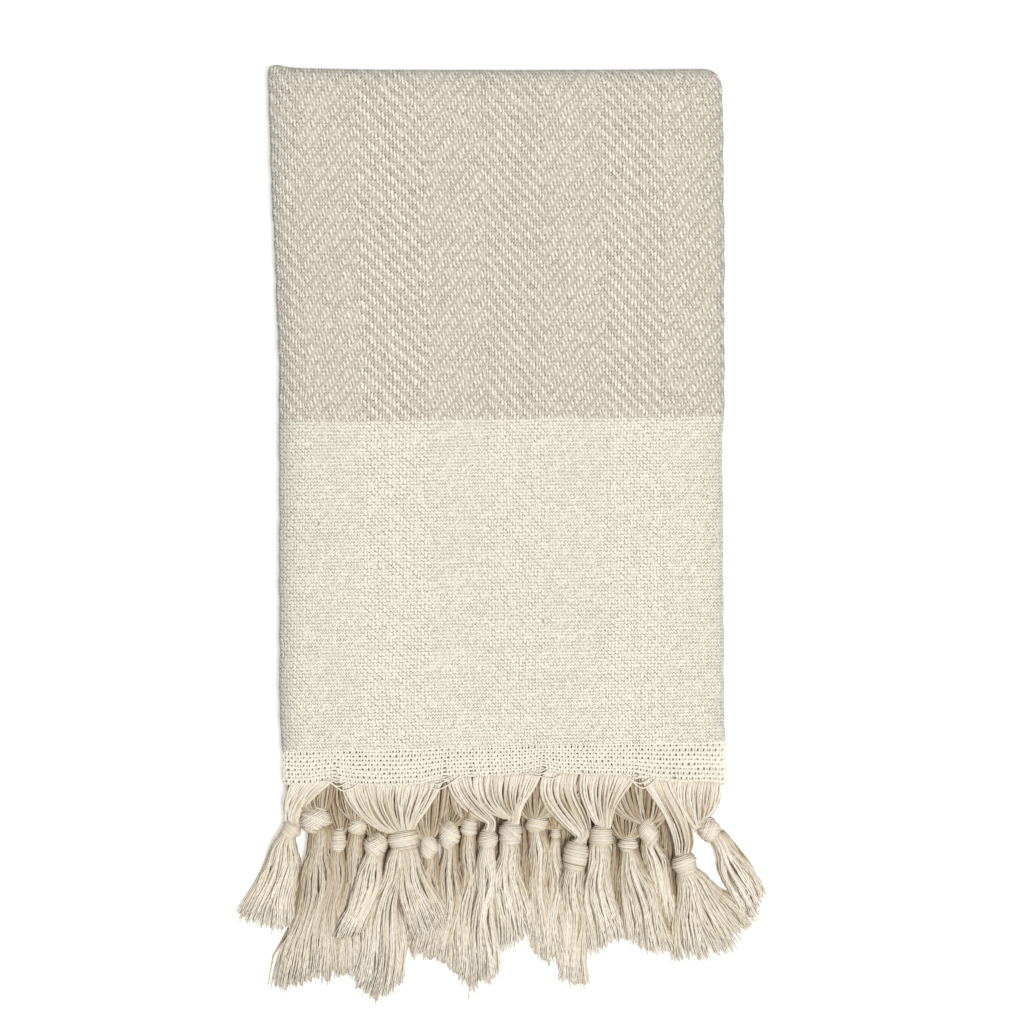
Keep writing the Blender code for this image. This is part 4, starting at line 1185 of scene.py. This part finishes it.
class TOWEL_OT_stage(bpy.types.Operator):
    """Make the pale floor, the soft lights and the camera above the towel"""
    bl_idname = "towel.stage"
    bl_label = "Stage"

    def execute(self, context):
        scene = context.scene

        def placed(name, data):
            """Put a new object into the scene."""
            item = bpy.data.objects.new(name, data)
            scene.collection.objects.link(item)
            return item

        mesh = bpy.data.meshes.new("floor")
        corners = ((-1, -1), (1, -1), (1, 1), (-1, 1))
        mesh.from_pydata([(x * FLOOR_HALF, y * FLOOR_HALF, FLOOR_Z) for x, y in corners], [], [(0, 1, 2, 3)])
        pale = bpy.data.materials.new("pale_floor")
        pale.use_nodes = True
        for label, value in FLOOR_LOOK.items():
            pale.node_tree.nodes["Principled BSDF"].inputs[label].default_value = value
        mesh.materials.append(pale)
        floor = placed("floor", mesh)

        world = bpy.data.worlds.new("studio")
        scene.world = world
        world.use_nodes = True
        world.node_tree.nodes["Background"].inputs["Color"].default_value = SKY
        world.node_tree.nodes["Background"].inputs["Strength"].default_value = SKY_STRENGTH
        for lamp in LAMPS:
            shine = bpy.data.lights.new(lamp.name, "AREA")
            shine.size, shine.energy = lamp.width, lamp.power
            light = placed(lamp.name, shine)
            light.location = lamp.place
            light.rotation_euler = (-Vector(lamp.place)).to_track_quat("-Z", "Y").to_euler()

        eye = bpy.data.cameras.new("camera")
        eye.sensor_width = SENSOR
        eye.lens = SENSOR * (CAMERA_HEIGHT - LAYER_Z[0]) / (PHOTO_SIDE * MM_PER_PIXEL)
        eye.clip_start, eye.clip_end = NEAR, FAR
        scene.camera = placed("camera", eye)
        scene.camera.location = (PHOTO_MIDDLE[0] * MM, PHOTO_MIDDLE[1] * MM, CAMERA_HEIGHT * MM)
        scene.view_settings.view_transform = "Standard"
        return {"FINISHED"}


class TOWEL_PT_panel(bpy.types.Panel):
    """The towel's steps and settings"""
    bl_idname = "TOWEL_PT_panel"
    bl_label = "Hammam Towel"
    bl_space_type = "VIEW_3D"
    bl_region_type = "UI"
    bl_category = "Towel"

    def draw(self, context):
        for group in (context.scene.towel_sizes, context.scene.towel_colours):
            for label in group.__annotations__:
                self.layout.prop(group, label)
        for operator in (TOWEL_OT_cloth, TOWEL_OT_fringe, TOWEL_OT_stage):
            self.layout.operator(operator.bl_idname)


CLASSES = (TowelSizes, TowelColours, TOWEL_OT_cloth, TOWEL_OT_fringe, TOWEL_OT_stage, TOWEL_PT_panel)


def register():
    for item in CLASSES:
        bpy.utils.register_class(item)
    bpy.types.Scene.towel_sizes = bpy.props.PointerProperty(type=TowelSizes)
    bpy.types.Scene.towel_colours = bpy.props.PointerProperty(type=TowelColours)


def unregister():
    del bpy.types.Scene.towel_colours
    del bpy.types.Scene.towel_sizes
    for item in reversed(CLASSES):
        bpy.utils.unregister_class(item)


def main():
    """Build the whole towel."""
    register()
    bpy.ops.towel.cloth()
    bpy.ops.towel.fringe()
    bpy.ops.towel.stage()


if __name__ == "__main__":
    main()
